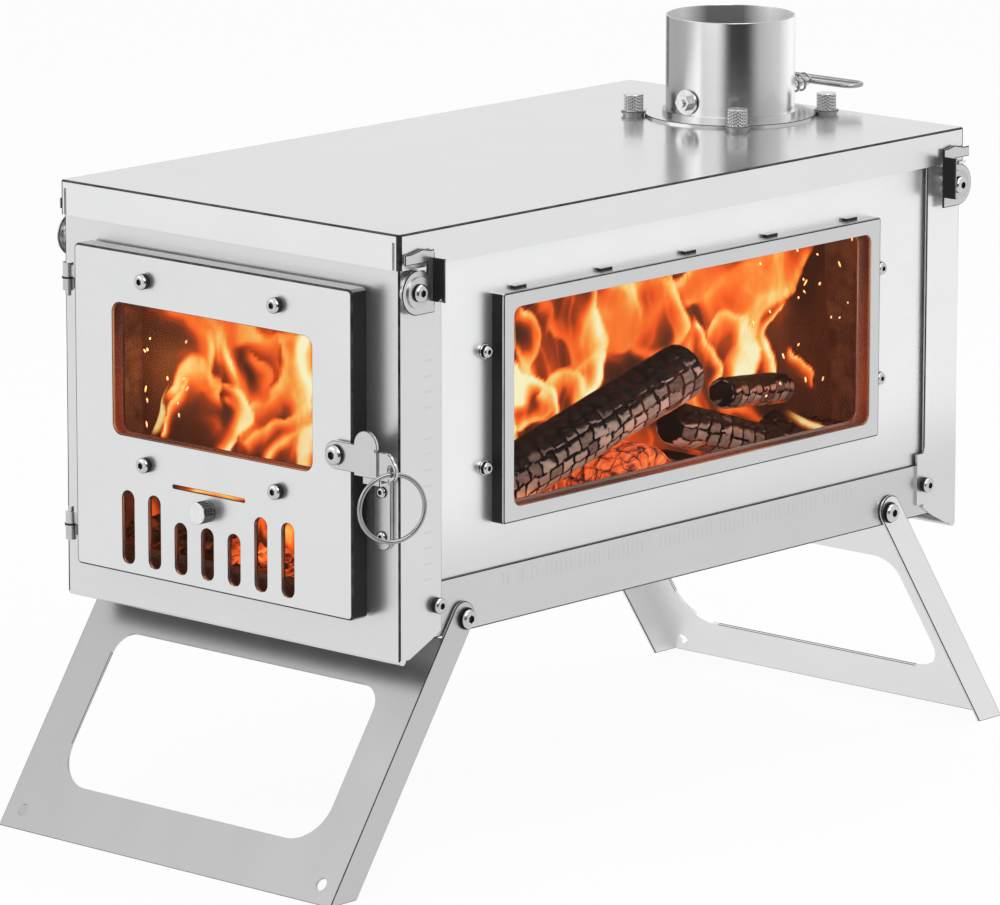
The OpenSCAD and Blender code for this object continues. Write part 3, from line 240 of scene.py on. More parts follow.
def inside_firebox(x, y, z):
    """1 on the faces that look into the firebox."""
    across = abs(x + 0.00312).rise(0.1008, 0.1004)
    along = abs(y - 0.00405).rise(0.1934, 0.1930)
    return across * along * z.rise(0.1089, 0.1093) * z.rise(0.29195, 0.29155)


def inside_door(x, y, z):
    """1 inside the firebox and on the panel's face that the door's gasket shuts in."""
    low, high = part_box("door_gasket")
    shut_in = (x.rise(low.x, low.x + 0.002) * x.rise(high.x, high.x - 0.002)
               * z.rise(low.z, low.z + 0.002) * z.rise(high.z, high.z - 0.002))
    return inside_firebox(x, y, z).most(shut_in)


def strip_ticks(steel, place):
    """A row of short strokes stamped along the strip."""
    _, y, z = steel.axes(place)
    row = abs(z - 0.1275).rise(0.0034, 0.0028)
    step = (y * 310).fraction()
    stroke = abs(step - 0.5).rise(0.16, 0.1)
    gaps = steel.noise(y * 130 + 4, 1, 1).rise(0.42, 0.47)
    span = abs(y).rise(0.125, 0.121)
    return 0.5 * row * stroke * gaps * span


def flange_ticks(steel, place):
    """A column of short strokes stamped on each side flange."""
    x, y, z = steel.axes(place)
    column = abs(y + 0.1712).rise(0.0030, 0.0025) * abs(x).rise(0.0962, 0.0966)
    step = (z * 143).fraction()
    stroke = abs(step - 0.5).rise(0.09, 0.05)
    gaps = steel.noise(z * 90 + 4, 1, 1).rise(0.40, 0.46)
    return 0.3 * column * stroke * gaps * abs(z - 0.185).rise(0.062, 0.059)


def edge_finish():
    """Steel at a fold or cut edge, painted darker than the sheet's face: a painted dark reflection along the edge."""
    edge = Finish("folded_edge_painted_reflection", Metallic=0.9)
    cloud = edge.noise(edge.place(), 160, 3)
    edge.set("Base Color", edge.mix(cloud.rise(0.3, 0.7), rgb(0.022, 0.022, 0.023), rgb(0.07, 0.07, 0.072)))
    edge.set("Roughness", 0.38 + 0.2 * cloud)
    return edge.material


def blackened_finish():
    # Near-black steel: blackened washers and spacers, and painted shade on frame and door flanks, clip faces and bolt
    # sockets.
    black = Finish("blackened_steel_and_painted_shade", Metallic=0.5)
    place = black.place()
    cloud = black.noise(place, 70, 5, 0.6)
    black.set("Base Color", black.mix(cloud, rgb(0.006, 0.006, 0.0065), rgb(0.022, 0.021, 0.02)))
    black.set("Roughness", 0.42 + 0.25 * cloud)
    black.set("Normal", black.bump(black.noise(place, 900, 3), 0.15, 0.0001))
    return black.material


def fastener_finish(name, low, high):
    bright = Finish(name, Metallic=1.0)
    place = bright.place()
    soft = bright.noise(place, 160, 2)
    bright.set("Base Color", bright.mix(soft, rgb(low, low, low * 1.01), rgb(high, high, high * 0.99)))
    bright.set("Roughness", 0.2 + 0.08 * soft)
    return bright.material


def polished_finish():
    """Spun collar: smooth steel, its tone turning slowly round the axis, outside and in: painted reflections, light and
    dark bands fixed round the axis.
    """
    spun = Finish("spun_steel")
    low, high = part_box("flue_collar")
    place = spun.place()
    rings = spun.noise(spun.stretched(place, (20, 20, 2600)), 1, 2)
    x, y, _ = spun.axes(place)
    x = (x - (low.x + high.x) / 2) / COLLAR_RADIUS
    y = (y - (low.y + high.y) / 2) / COLLAR_RADIUS
    # Painted reflections: the outside follows a ramp of light and dark bands across the collar, the inside runs from
    # light at the sides to dark in the middle.
    across = x * 0.365 + y * 0.34 + 0.5
    wall = (x * x + y * y).rise(0.970, 0.985)
    bands = ((0.0, 0.32), (0.14, 0.40), (0.30, 0.85), (0.43, 1.0),
             (0.49, 0.5), (0.68, 0.42), (0.86, 0.62), (0.95, 1.0))
    outer = across.ramp(*((stop, (grey, grey, grey)) for stop, grey in bands))
    bands = ((0.0, 0.95), (0.15, 0.85), (0.34, 0.14), (0.62, 0.16), (0.82, 1.0), (1.0, 1.0))
    inner = across.ramp(*((stop, (grey, grey, grey)) for stop, grey in bands))
    tone = (outer * wall + inner * (1 - wall)) * (0.97 + 0.06 * rings)
    spun.set("Base Color", spun.mix(tone, rgb(0.02, 0.02, 0.02), rgb(0.98, 0.98, 0.975)))
    spun.set("Metallic", 1 - 0.8 * (1 - wall))
    spun.set("Roughness", 0.20 + 0.04 * rings + 0.14 * (1 - wall))
    return spun.material


def rope_finish():
    rope = Finish("braided_rope", Roughness=0.9)
    place = rope.place()
    x, y, z = rope.axes(place)
    weave = ((x + y + z) * 2600).sine() * ((x - y + z) * 2600).sine()
    fluff = rope.noise(place, 1500, 3)
    worn = (weave * 0.4 + fluff).rise(0.1, 0.9)
    rope.set("Base Color", rope.mix(worn, rgb(0.02, 0.02, 0.02), rgb(0.16, 0.155, 0.15)))
    rope.set("Normal", rope.bump(weave + fluff, 0.6, 0.0004))
    return rope.material


def glass_finish():
    """Clear glass with a thin smoke haze; it mirrors only where it is seen at a low angle."""
    pane = Finish("fire_glass", IOR=1.46)
    haze = pane.noise(pane.place(), 35, 3)
    grazing = pane.node("ShaderNodeLayerWeight", sockets={"Blend": 0.5}, output="Facing")
    pane.set("Base Color", pane.mix(haze.rise(0.45, 0.8), rgb(0.05, 0.02, 0.01), rgb(0.12, 0.06, 0.03)))
    pane.set("Roughness", 0.02 + 0.04 * haze.rise(0.5, 0.9))
    pane.set("Alpha", 0.04 + 0.05 * haze.rise(0.5, 0.9) + 0.5 * grazing ** 4)
    return pane.material


def knurl_steel(name, low, high):
    knurl = Finish(name, Metallic=0.95)
    x, y, z = knurl.axes(knurl.place())
    # The teeth are drawn as light and dark stripes in the colour: painted highlights and shade on the knurl.
    teeth = ((x + y) * 4200).sine() * ((z - y) * 4200).sine()
    knurl.set("Base Color", knurl.mix(teeth.rise(-0.6, 0.5), rgb(low, low, low), rgb(high, high, high)))
    knurl.set("Roughness", 0.35 + 0.1 * teeth)
    return knurl.material


def inner_finish():
    soot = Finish("sooty_steel_painted_glow", Metallic=0.35, Emission_Strength=1.0)
    place = soot.place()
    flake = soot.noise(place, 80, 6, 0.65)
    soot.set("Base Color", soot.mix(flake.rise(0.35, 0.75), rgb(0.012, 0.010, 0.009), rgb(0.12, 0.085, 0.07)))
    soot.set("Roughness", 0.6 + 0.3 * flake)
    # Painted firelight: the soot emits a faint warm glow.
    soot.set("Emission Color", soot.mix(flake, rgb(0.012, 0.003, 0.0015), rgb(0.04, 0.009, 0.004)))
    soot.set("Normal", soot.bump(flake, 0.4, 0.0006))
    return soot.material


FIRE = ((0.0, (0.030, 0.007, 0.003)), (0.14, (0.10, 0.020, 0.007)), (0.30, (0.36, 0.042, 0.007)),
        (0.45, (0.92, 0.10, 0.011)), (0.58, (1.0, 0.20, 0.026)), (0.70, (1.0, 0.41, 0.075)),
        (0.82, (1.0, 0.69, 0.23)), (0.96, (1.0, 0.93, 0.58)))


def flame_wall_finish():
    """Burning gas: the heat attribute of the curtain, with fine streaks that curl inside it."""
    fire = Finish("flame_curtain", Base_Color=rgb(0.02, 0.008, 0.004), Roughness=1.0, Emission_Strength=1.0)
    place = fire.place()
    heat = fire.node("ShaderNodeAttribute", {"attribute_name": "fire_heat"}, output="Fac")
    pushed = fire.swirl(place, 30, 0.02)
    streak = fire.noise(fire.stretched(pushed, (40, 40, 22)), 1, 3, 0.5)
    fold = fire.noise(fire.stretched(pushed, (95, 95, 50)), 1, 2, 0.5)
    glow = heat * (1 + 0.55 * (streak - 0.5) + 0.35 * (fold - 0.5)) + 0.05 * (streak - 0.5)
    fire.set("Emission Color", (glow.most(0.01) ** 1.28 * 1.02).ramp(*FIRE))
    return fire.material


def tongue_finish():
    """One tongue of flame, bright along its middle and clear at its edges."""
    fire = Finish("flame_tongue", Base_Color=rgb(0.0, 0.0, 0.0), Roughness=1.0, Emission_Strength=1.0,
                  Specular_IOR_Level=0.0)
    strand = fire.node("ShaderNodeUVMap", {"uv_map": "strand"})
    u, v, _ = fire.axes(strand)
    curl = fire.noise(fire.swirl(fire.place(), 40, 0.02), 60, 3, 0.5)
    edge = 1 - abs(u + (curl - 0.5) * 0.8 - 0.5) * 2
    ends = v.rise(0.0, 0.2) * v.rise(1.0, 0.55)
    heat = edge.rise(0.0, 0.9) * (0.5 + 0.5 * ends) * (0.75 + 0.7 * (curl - 0.3))
    fire.set("Emission Color", (0.36 + 0.6 * heat).ramp(*FIRE))
    fire.set("Alpha", edge.rise(0.05, 0.75) * ends * 0.85)
    return fire.material


def charred_finish():
    """Charcoal: dull pink-brown blocks between black cracks, black on the upward faces, glowing low down, with painted
    light on the blocks' faces and a painted orange rim light along the cracks.
    """
    char = Finish("charred_wood", Roughness=1.0, Emission_Strength=1.0, Specular_IOR_Level=0.12)
    place = char.place()
    groove = char.node("ShaderNodeAttribute", {"attribute_name": "groove"}, output="Fac")
    tone = char.node("ShaderNodeAttribute", {"attribute_name": "tone"}, output="Fac")
    grain = char.noise(char.stretched(place, (700, 220, 700)), 1, 4, 0.6)
    patch = char.noise(place, 38, 4, 0.6)
    z = char.axes(char.node("ShaderNodeNewGeometry", output="Normal"))[2]
    ash = (tone * 0.75 + grain * 0.5 + (patch - 0.5) * 0.8).rise(0.1, 1.0)
    face = char.mix(ash, rgb(0.07, 0.042, 0.033), rgb(0.58, 0.41, 0.345))
    # Darker on the faces that look upward.
    burnt = (z + (patch - 0.5) * 1.6 + (tone - 0.5) * 0.5).rise(0.18, 0.42)
    face = char.mix(burnt, face, char.mix(grain.rise(0.35, 0.8), rgb(0.010, 0.007, 0.006), rgb(0.06, 0.034, 0.026)))
    char.set("Base Color", char.mix(groove.rise(0.2, 0.6), face, rgb(0.006, 0.004, 0.004)))
    low = z.rise(-0.25, -0.9)
    hot = char.noise(place, 34, 2).rise(0.40, 0.6)
    # Painted rim light: an orange glow along the crack edges.
    rim = groove.rise(0.02, 0.16) * groove.rise(0.5, 0.2) * (1 - burnt) * hot
    glow = (groove.rise(0.35, 0.9) * (0.25 + low) * hot + low * 0.55 * patch.rise(0.4, 0.6)).least(1)
    heat = (glow * 0.75 + rim * 0.25).least(1)
    # Painted light: an emitted pink-brown glow on the blocks' faces.
    painted_light = char.mix((1 - burnt) * (1 - groove.rise(0.1, 0.5)) * (0.4 + 0.6 * ash), rgb(0.002, 0.001, 0.001),
                   rgb(0.15, 0.092, 0.072))
    char.set("Emission Color", char.mix(heat.rise(0.0, 0.25), painted_light, heat.ramp(
        (0.0, (0.0, 0.0, 0.0)), (0.2, (0.10, 0.018, 0.006)), (0.55, (0.85, 0.11, 0.015)), (1.0, (1.0, 0.30, 0.05)))))
    char.set("Normal", char.bump(grain, 0.5, 0.0006))
    return char.material


def ember_finish(name, place_scale, heat_low, heat_high, grooved=False):
    """Glowing coals: orange heat between dark ashy crusts."""
    coal = Finish(name, Roughness=0.95, Emission_Strength=1.0)
    place = coal.place()
    pushed = coal.swirl(coal.swirl(place, 50, 0.018), 140, 0.006)
    crack = coal.node("ShaderNodeTexVoronoi", {"feature": "DISTANCE_TO_EDGE"},
                      {"Vector": coal.stretched(pushed, (1, 0.45, 1)), "Scale": place_scale})
    cloud = coal.noise(coal.stretched(pushed, (1, 0.5, 1)), 34, 4, 0.55)
    fine = coal.noise(pushed, 110, 3, 0.6)
    thread = (1 - abs(coal.noise(coal.stretched(pushed, (1, 0.4, 1)), 62, 2) - 0.5) * 11).most(0)
    crust = coal.noise(pushed, 70, 3, 0.6).rise(0.52, 0.66)
    heat = (cloud.rise(heat_low, heat_high) * 0.62 + (fine - 0.5) * 0.4 + thread * 0.3
            - crack.rise(0.035, 0.0) * 0.5 - crust * 0.4)
    if grooved:
        heat = heat - coal.node("ShaderNodeAttribute", {"attribute_name": "groove"}, output="Fac") * 0.5
    x, y, _ = coal.axes(place)
    heat = heat - 0.38 * y.rise(-0.115, -0.140) * x.rise(-0.020, -0.034)
    ash = coal.noise(place, 210, 4, 0.7)
    coal.set("Base Color", coal.mix(ash.rise(0.4, 0.7), rgb(0.02, 0.012, 0.010), rgb(0.10, 0.07, 0.06)))
    coal.set("Emission Color", heat.ramp((0.0, (0.0, 0.0, 0.0)), (0.2, (0.14, 0.018, 0.005)),
                                         (0.45, (0.70, 0.07, 0.012)), (0.68, (1.0, 0.16, 0.028)),
                                         (0.85, (1.0, 0.34, 0.07)), (1.0, (1.0, 0.66, 0.22))))
    coal.set("Normal", coal.bump(ash, 0.6, 0.001))
    return coal.material


def ash_finish():
    """A spent coal: grey ash over black."""
    ash = Finish("grey_coal", Roughness=0.95)
    place = ash.place()
    dust = ash.noise(place, 260, 4, 0.65)
    ash.set("Base Color", ash.mix(dust.rise(0.35, 0.65), rgb(0.03, 0.028, 0.03), rgb(0.32, 0.29, 0.30)))
    ash.set("Normal", ash.bump(dust, 0.7, 0.001))
    return ash.material


def rope_painted_glow_finish():
    """The glass rope round a window, with a painted firelight glow in patches over it."""
    rope = Finish("rope_painted_glow", Roughness=0.9, Emission_Strength=1.0)
    place = rope.place()
    fluff = rope.noise(place, 1500, 3)
    painted_glow = rope.noise(place, 16, 2)
    rope.set("Base Color", rope.mix(fluff.rise(0.1, 0.9), rgb(0.02, 0.015, 0.012), rgb(0.16, 0.10, 0.07)))
    glow = (painted_glow * 0.8 + fluff * 0.25).ramp((0.0, (0.012, 0.004, 0.002)), (0.45, (0.06, 0.010, 0.004)),
                                            (0.7, (0.26, 0.032, 0.007)), (1.0, (0.7, 0.13, 0.02)))
    rope.set("Emission Color", glow)
    rope.set("Normal", rope.bump(fluff, 0.6, 0.0004))
    return rope.material


def spark_finish():
    spark = Finish("spark", Emission_Strength=1.0, Roughness=1.0)
    flick = spark.noise(spark.place(), 400, 1)
    spark.set("Base Color", spark.mix(flick, rgb(0.8, 0.4, 0.1), rgb(1.0, 0.7, 0.3)))
    spark.set("Emission Color", spark.mix(flick.rise(0.3, 0.7), rgb(1.0, 0.42, 0.12), rgb(1.0, 0.8, 0.5)))
    return spark.material


# ---- Making pieces ----

def start_form():
    return bmesh.new()


def make_piece(name, form, finishes, body, replaced=(), smooth=35):
    """Turns a bmesh form into an object that rides on a body."""
    for face in form.faces:
        face.smooth = True
    for edge in form.edges:
        bent = edge.calc_face_angle(0) > math.radians(smooth)
        edge.smooth = not bent and len({face.material_index for face in edge.link_faces}) < 2
    mesh = bpy.data.meshes.new(name)
    form.to_mesh(mesh)
    form.free()
    for finish in finishes:
        mesh.materials.append(finish)
    piece = bpy.data.objects.new(name, mesh)
    bpy.context.scene.collection.objects.link(piece)
    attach(piece, body)
    if replaced:
        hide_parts(*replaced)
    return piece


def node_form(name):
    """A merged copy of a CAD node's mesh, its flat faces whole again."""
    form = start_form()
    form.from_mesh(nodes[name].data)
    for face in form.faces:
        face.material_index = 0
    bmesh.ops.remove_doubles(form, verts=form.verts, dist=0.000004)
    bmesh.ops.dissolve_limit(form, angle_limit=math.radians(0.5), verts=form.verts, edges=form.edges)
    return form


def round_edges(form, radius, picked, segments=2, finish=1):
    """Rounds the sharp outer edges that picked() names; their new faces get a finish of their own."""
    edges = [e for e in form.edges if len(e.link_faces) == 2 and e.is_convex
             and e.calc_face_angle(0) > math.radians(40) and picked(e)]
    made = bmesh.ops.bevel(form, geom=edges, offset=radius * MM, offset_type="OFFSET", segments=segments,
                           profile=0.5, affect="EDGES", material=-1, clamp_overlap=False, loop_slide=False)
    for face in made["faces"]:
        face.material_index = finish
    return made["faces"]


def middle(edge):
    return (edge.verts[0].co + edge.verts[1].co) / 2


def level(axis, value, slack=0.05):
    """Picks edges that lie in the plane at a value, in metres, along an axis."""
    return lambda edge: all(abs(v.co[axis] - value) < slack * MM for v in edge.verts)


def upright(x, y):
    """Picks long standing edges at y, and at x on either side of the stove's middle, in metres."""
    def picked(edge):
        low, high = edge.verts
        if abs(low.co.z - high.co.z) < 6 * MM or (low.co - high.co).xy.length > 0.1 * MM:
            return False
        return abs(abs(low.co.x - SIDE_MIDDLE) - x) < 0.1 * MM and abs(low.co.y - y) < 0.1 * MM
    return picked


def paint(form, finish, picked):
    """Gives another finish to the plain faces that picked() names."""
    for face in form.faces:
        if face.material_index == 0 and picked(face):
            face.material_index = finish


def slanting(face):
    """True for the faces of a round corner."""
    return max(abs(part) for part in face.normal) < 0.985


# ---- Fasteners ----

def spun_form(profile, steps=28):
    """Turns a profile of (radius, height) points about Z."""
    form = start_form()
    points = [form.verts.new((r * MM, 0, h * MM)) for r, h in profile]
    edges = [form.edges.new(pair) for pair in zip(points, points[1:])]
    bmesh.ops.spin(form, geom=points + edges, cent=(0, 0, 0), axis=(0, 0, 1), angle=math.tau, steps=steps,
                   use_merge=True)
    bmesh.ops.remove_doubles(form, verts=form.verts, dist=0.000002)
    return form


def socket_head(radius, height):
    """Domed head with a hex socket, standing on Z = 0."""
    form = spun_form([(radius * 0.9, 0), (radius, height * 0.12), (radius, height * 0.45),
                      (radius * 0.93, height * 0.72), (radius * 0.78, height * 0.92), (radius * 0.6, height),
                      (radius * 0.52, height)])
    rim = [e for e in form.edges if e.is_boundary and middle(e).z > height * 0.9 * MM]
    hexagon = bmesh.ops.create_circle(form, segments=6, radius=radius * 0.44 * MM, cap_ends=False,
                                      matrix=Matrix.Translation((0, 0, height * 0.97 * MM)))["verts"]
    ring = list({e for v in hexagon for e in v.link_edges})
    before = set(form.faces)
    bmesh.ops.bridge_loops(form, edges=rim + ring)
    walls = bmesh.ops.extrude_edge_only(form, edges=ring)["geom"]
    low = [v for v in walls if isinstance(v, bmesh.types.BMVert)]
    bmesh.ops.translate(form, verts=low, vec=(0, 0, -height * 0.4 * MM))
    bmesh.ops.contextual_create(form, geom=[e for e in walls if isinstance(e, bmesh.types.BMEdge)])
    # The socket's inside and the foot of the head take the second finish, black on the bolts: painted shade.
    for face in set(form.faces) - before:
        face.material_index = 1 if face.calc_center_median().z < height * 0.9 * MM else 0
    for face in before:
        if face.calc_center_median().z < height * 0.4 * MM:
            face.material_index = 1
    bottom = [e for e in form.edges if e.is_boundary]
    bmesh.ops.contextual_create(form, geom=bottom)
    bmesh.ops.recalc_face_normals(form, faces=form.faces)
    return form


def add_copy(form, part, place, index=None):
    """Adds a copy of a part to a form, moved by a matrix."""
    mesh = bpy.data.meshes.new("copy")
    part.to_mesh(mesh)
    before = len(form.verts), len(form.faces)
    form.from_mesh(mesh)
    form.verts.ensure_lookup_table()
    form.faces.ensure_lookup_table()
    bmesh.ops.transform(form, matrix=place, verts=form.verts[before[0]:])
    if index is not None:
        for face in form.faces[before[1]:]:
            face.material_index = index
    bpy.data.meshes.remove(mesh)


def plain_disc(radius, height):
    """A washer, spacer or shank with softened rims."""
    soft = 0.15
    form = spun_form([(0, 0), (radius - soft, 0), (radius, soft), (radius, height - soft), (radius - soft, height),
                      (0, height)])
    bmesh.ops.recalc_face_normals(form, faces=form.faces)
    return form

def facing(point, direction):
    """A matrix that takes +Z to a direction at a point."""
    return Matrix.Translation(Vector(point) * MM) @ Vector(direction).to_track_quat("Z", "Y").to_matrix().to_4x4()


def hex_nut(radius, height):
    form = start_form()
    bmesh.ops.create_cone(form, cap_ends=True, segments=6, radius1=radius * MM, radius2=radius * MM, depth=height * MM,
                          matrix=Matrix.Translation((0, 0, height / 2 * MM)))
    bmesh.ops.bevel(form, geom=list(form.edges), offset=0.00012, offset_type="OFFSET", segments=2, profile=0.5,
                    affect="EDGES", material=-1)
    return form


# ---- The stove's sheets and fasteners ----

FRONT_GRAIN, LID_GRAIN, SIDE_GRAIN = (90, 900, 2600), (2600, 60, 900), (900, 70, 2600)
# All the sheets are one stainless steel; their greys differ sheet by sheet to paint the light and shade each one takes.
front_steel = steel_finish("front_steel", 0.71, 0.30, FRONT_GRAIN, soot=inside_door, ticks=flange_ticks)
# Painted shade: the side walls and rear panel darken towards the bottom.
side_steel = steel_finish("side_steel", 0.88, 0.30, SIDE_GRAIN, soot=inside_firebox,
                          painted_shade=lambda x, y, z: z.rise(0.175, 0.128) * 0.6)
strip_steel = steel_finish("strip_steel", 0.61, 0.32, SIDE_GRAIN, soot=inside_firebox, ticks=strip_ticks)
lid_steel = steel_finish("lid_steel", 0.62, 0.15, LID_GRAIN, soot=inside_firebox)
skirt_steel = steel_finish("skirt_steel", 0.79, 0.30, (900, 900, 1800), soot=inside_firebox)
door_steel = steel_finish("door_steel", 0.75, 0.30, FRONT_GRAIN)
frame_steel = steel_finish("frame_steel", 0.64, 0.30, SIDE_GRAIN)
leg_steel = steel_finish("leg_steel", 0.55, 0.34, (90, 900, 2600))
plate_steel = steel_finish("plate_steel", 0.34, 0.34, (90, 900, 2600))
pale_steel = steel_finish("pale_steel", 0.78, 0.34, (90, 900, 2600))
clip_steel = steel_finish("clip_steel", 0.60, 0.24, (90, 90, 30))
knob_steel = steel_finish("knob_steel", 0.80, 0.30, (200, 100, 200))
shaded_steel = steel_finish("shaded_steel", 0.30, 0.34, FRONT_GRAIN)
painted_dark_edge_steel = edge_finish()
black_and_shade_steel = blackened_finish()
bright_steel = fastener_finish("turned_steel", 0.44, 0.66)
# The wire steel is a darker copy of the turned steel: painted shade on the thin wires.
wire_steel = fastener_finish("wire_steel", 0.26, 0.42)
spun_steel = polished_finish()
rope = rope_finish()
rope_painted_glow = rope_painted_glow_finish()
fire_glass = glass_finish()
sooty_steel_painted_glow = inner_finish()
knurl = knurl_steel("knurled_steel", 0.14, 0.90)
# The knob's knurl is a darker copy of the knurled steel: painted shade on the knob's sides.
dark_knurl = knurl_steel("knurled_knob", 0.04, 0.26)


def dress_nodes():
    """Finishes for the CAD nodes that keep their own shape."""
    plan = {
        side_steel: ("side_wall_left", "side_wall_right"),
        black_and_shade_steel: ("hinge_washers", "leg_washers"),
        sooty_steel_painted_glow: ("grate", "baffle", "damper_disc", "slide_guides", "air_slide", "door_inner_plate"),
        rope: ("door_gasket",),
        rope_painted_glow: ("window_gaskets_left", "window_gaskets_right", "door_glass_gaskets"),
        fire_glass: ("window_glass_left", "window_glass_right", "door_glass"),
    }
    for finish, names in plan.items():
        for name in names:
            nodes[name].data.materials.clear()
            nodes[name].data.materials.append(finish)


SIDE_MIDDLE = (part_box("tray")[0].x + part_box("tray")[1].x) / 2


def make_lid():
    low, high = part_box("lid")
    form = node_form("lid")
    # Painted dark edges on the round corners and rounded top edges; the skirt is a lighter copy of the steel, painted
    # light.
    paint(form, 1, slanting)
    paint(form, 2, lambda face: abs(face.normal.z) < 0.3)
    top = level(2, high.z)
    round_edges(form, 0.9, lambda edge: top(edge) and (abs(middle(edge).x - SIDE_MIDDLE) > 98 * MM
                or min(middle(edge).y - low.y, high.y - middle(edge).y) < 7 * MM))
    make_piece("lid_sheet", form, [lid_steel, painted_dark_edge_steel, skirt_steel], "stove", ("lid",))


def make_panels():
    low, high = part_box("front_panel")
    form = node_form("front_panel")
    # Painted dark edges along the standing corners, here and on the rear panel and the tray.
    round_edges(form, 0.8, upright(103.5 * MM, low.y))
    round_edges(form, 0.35, upright(103.5 * MM, high.y))
    paint(form, 2, lambda face: abs(face.normal.y) < 0.5 and abs(face.calc_center_median().x - SIDE_MIDDLE) < 92 * MM
          and low.z + 8 * MM < face.calc_center_median().z < high.z - 4 * MM)
    make_piece("front_panel_sheet", form, [front_steel, painted_dark_edge_steel, sooty_steel_painted_glow], "stove", ("front_panel",))
    low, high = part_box("rear_panel")
    form = node_form("rear_panel")
    round_edges(form, 0.8, upright(103.5 * MM, high.y))
    round_edges(form, 0.5, upright(103.5 * MM, high.y - 24 * MM))
    make_piece("rear_panel_sheet", form, [side_steel, painted_dark_edge_steel], "stove", ("rear_panel",))
    low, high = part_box("tray")
    form = node_form("tray")
    round_edges(form, 0.5, lambda edge: level(2, high.z)(edge) and edge.calc_length() > 20 * MM)
    round_edges(form, 0.8, lambda edge: level(2, low.z)(edge) and edge.calc_length() > 20 * MM)
    make_piece("tray_sheet", form, [strip_steel, painted_dark_edge_steel], "stove", ("tray",))


def make_window_frames():
    """The frames' flanks carry painted shade, with a painted highlight along the fold and a painted dark line inside
    it; the opening's edge carries a painted highlight.
    """
    for side, way in (("left", -1), ("right", 1)):
        node = "window_frame_" + side
        low, high = (corner.copy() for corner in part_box("window_glass_" + side))
        low -= Vector((2, 2, 2)) * MM
        high += Vector((2, 2, 2)) * MM
        face_x = max((corner.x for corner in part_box(node)), key=lambda x: x * way)

        def outside(point, reach):
            return (min(point.y - low.y, high.y - point.y, point.z - low.z, high.z - point.z) < reach * MM)
        form = node_form(node)
        # Painted shade on the flanks.
        paint(form, 2, lambda face: face.normal.z < 0.7 and (outside(face.calc_center_median(), -0.3)
              or abs(face.normal.x) < 0.5 and outside(face.calc_center_median(), 0.7)))
        # Painted highlight along the fold and round the opening, with a painted dark line beside the fold.
        rim = round_edges(form, 0.8, lambda edge: level(0, face_x)(edge) and outside(middle(edge), 1.2))
        for face in rim:
            if abs(face.normal.x) < 0.7:
                face.material_index = 3
        round_edges(form, 0.3, lambda edge: level(0, face_x)(edge) and not outside(middle(edge), 3), finish=3)
        finishes = [frame_steel, painted_dark_edge_steel, black_and_shade_steel, bright_steel]
        make_piece(node + "_sheet", form, finishes, "stove", (node,))


def make_door():
    low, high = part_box("door_shell")
    form = node_form("door_shell")

    def outside(point, reach):
        return min(point.x - low.x, high.x - point.x, point.z - low.z, high.z - point.z) < reach * MM
    # Painted shade: near-black on the right flank, the shaded grey on the other flanks.
    paint(form, 2, lambda face: face.normal.x > 0.7 and outside(face.calc_center_median(), 0.5))
    paint(form, 3, lambda face: abs(face.normal.y) < 0.5 and outside(face.calc_center_median(), 0.9))
    # Painted dark edges round the front and back outlines and the window, the back one a painted shadow gap.
    round_edges(form, 0.9, lambda edge: level(1, low.y)(edge) and outside(middle(edge), 1.2))
    round_edges(form, 0.4, lambda edge: level(1, high.y)(edge) and outside(middle(edge), 0.9))
    round_edges(form, 0.25, lambda edge: level(1, low.y)(edge) and not outside(middle(edge), 5))
    make_piece("door_shell_sheet", form, [door_steel, painted_dark_edge_steel, black_and_shade_steel, shaded_steel], "door", ("door_shell",))


def make_legs():
    # Painted shade: the front leg is a darker copy of the rear leg's steel and its plate darker still; the rounded
    # edges are painted dark.
    for node, body, arms, plate in (("front_leg", "front_stand", leg_steel, plate_steel),
                                    ("rear_leg", "rear_stand", pale_steel, pale_steel)):
        form = node_form(node)
        paint(form, 2, lambda face: abs(face.normal.x) < 0.5)
        round_edges(form, 0.4, lambda edge: abs(middle(edge).x - SIDE_MIDDLE) > 100 * MM
                    or edge.calc_length() > 20 * MM)
        make_piece(node + "_sheet", form, [arms, painted_dark_edge_steel, plate], body, (node,))


def make_small_sheets():
    """Clips, latch lever and keeper: painted dark edges round their faces, and painted shade on the clips' large front
    and back faces.
    """
    for node, body in (("clip_front_left", "clip_a"), ("clip_front_right", "clip_b"),
                       ("clip_rear_left", "clip_c"), ("clip_rear_right", "clip_d")):
        form = node_form(node)
        # Painted shade on the clips' large front and back faces.
        paint(form, 2, lambda face: abs(face.normal.y) > 0.7 and face.calc_area() > 0.00005)
        round_edges(form, 0.45, lambda edge: level(0, middle(edge).x)(edge) and abs(middle(edge).x) > 0.1)
        make_piece(node + "_sheet", form, [clip_steel, painted_dark_edge_steel, black_and_shade_steel], body, (node,))
    form = node_form("latch_lever")
    round_edges(form, 0.25, lambda edge: level(1, middle(edge).y)(edge))
    make_piece("latch_lever_sheet", form, [clip_steel, painted_dark_edge_steel], "latch", ("latch_lever",))
    form = node_form("keeper")
    round_edges(form, 0.3, lambda edge: level(1, middle(edge).y)(edge))
    make_piece("keeper_sheet", form, [clip_steel, painted_dark_edge_steel], "stove", ("keeper",))


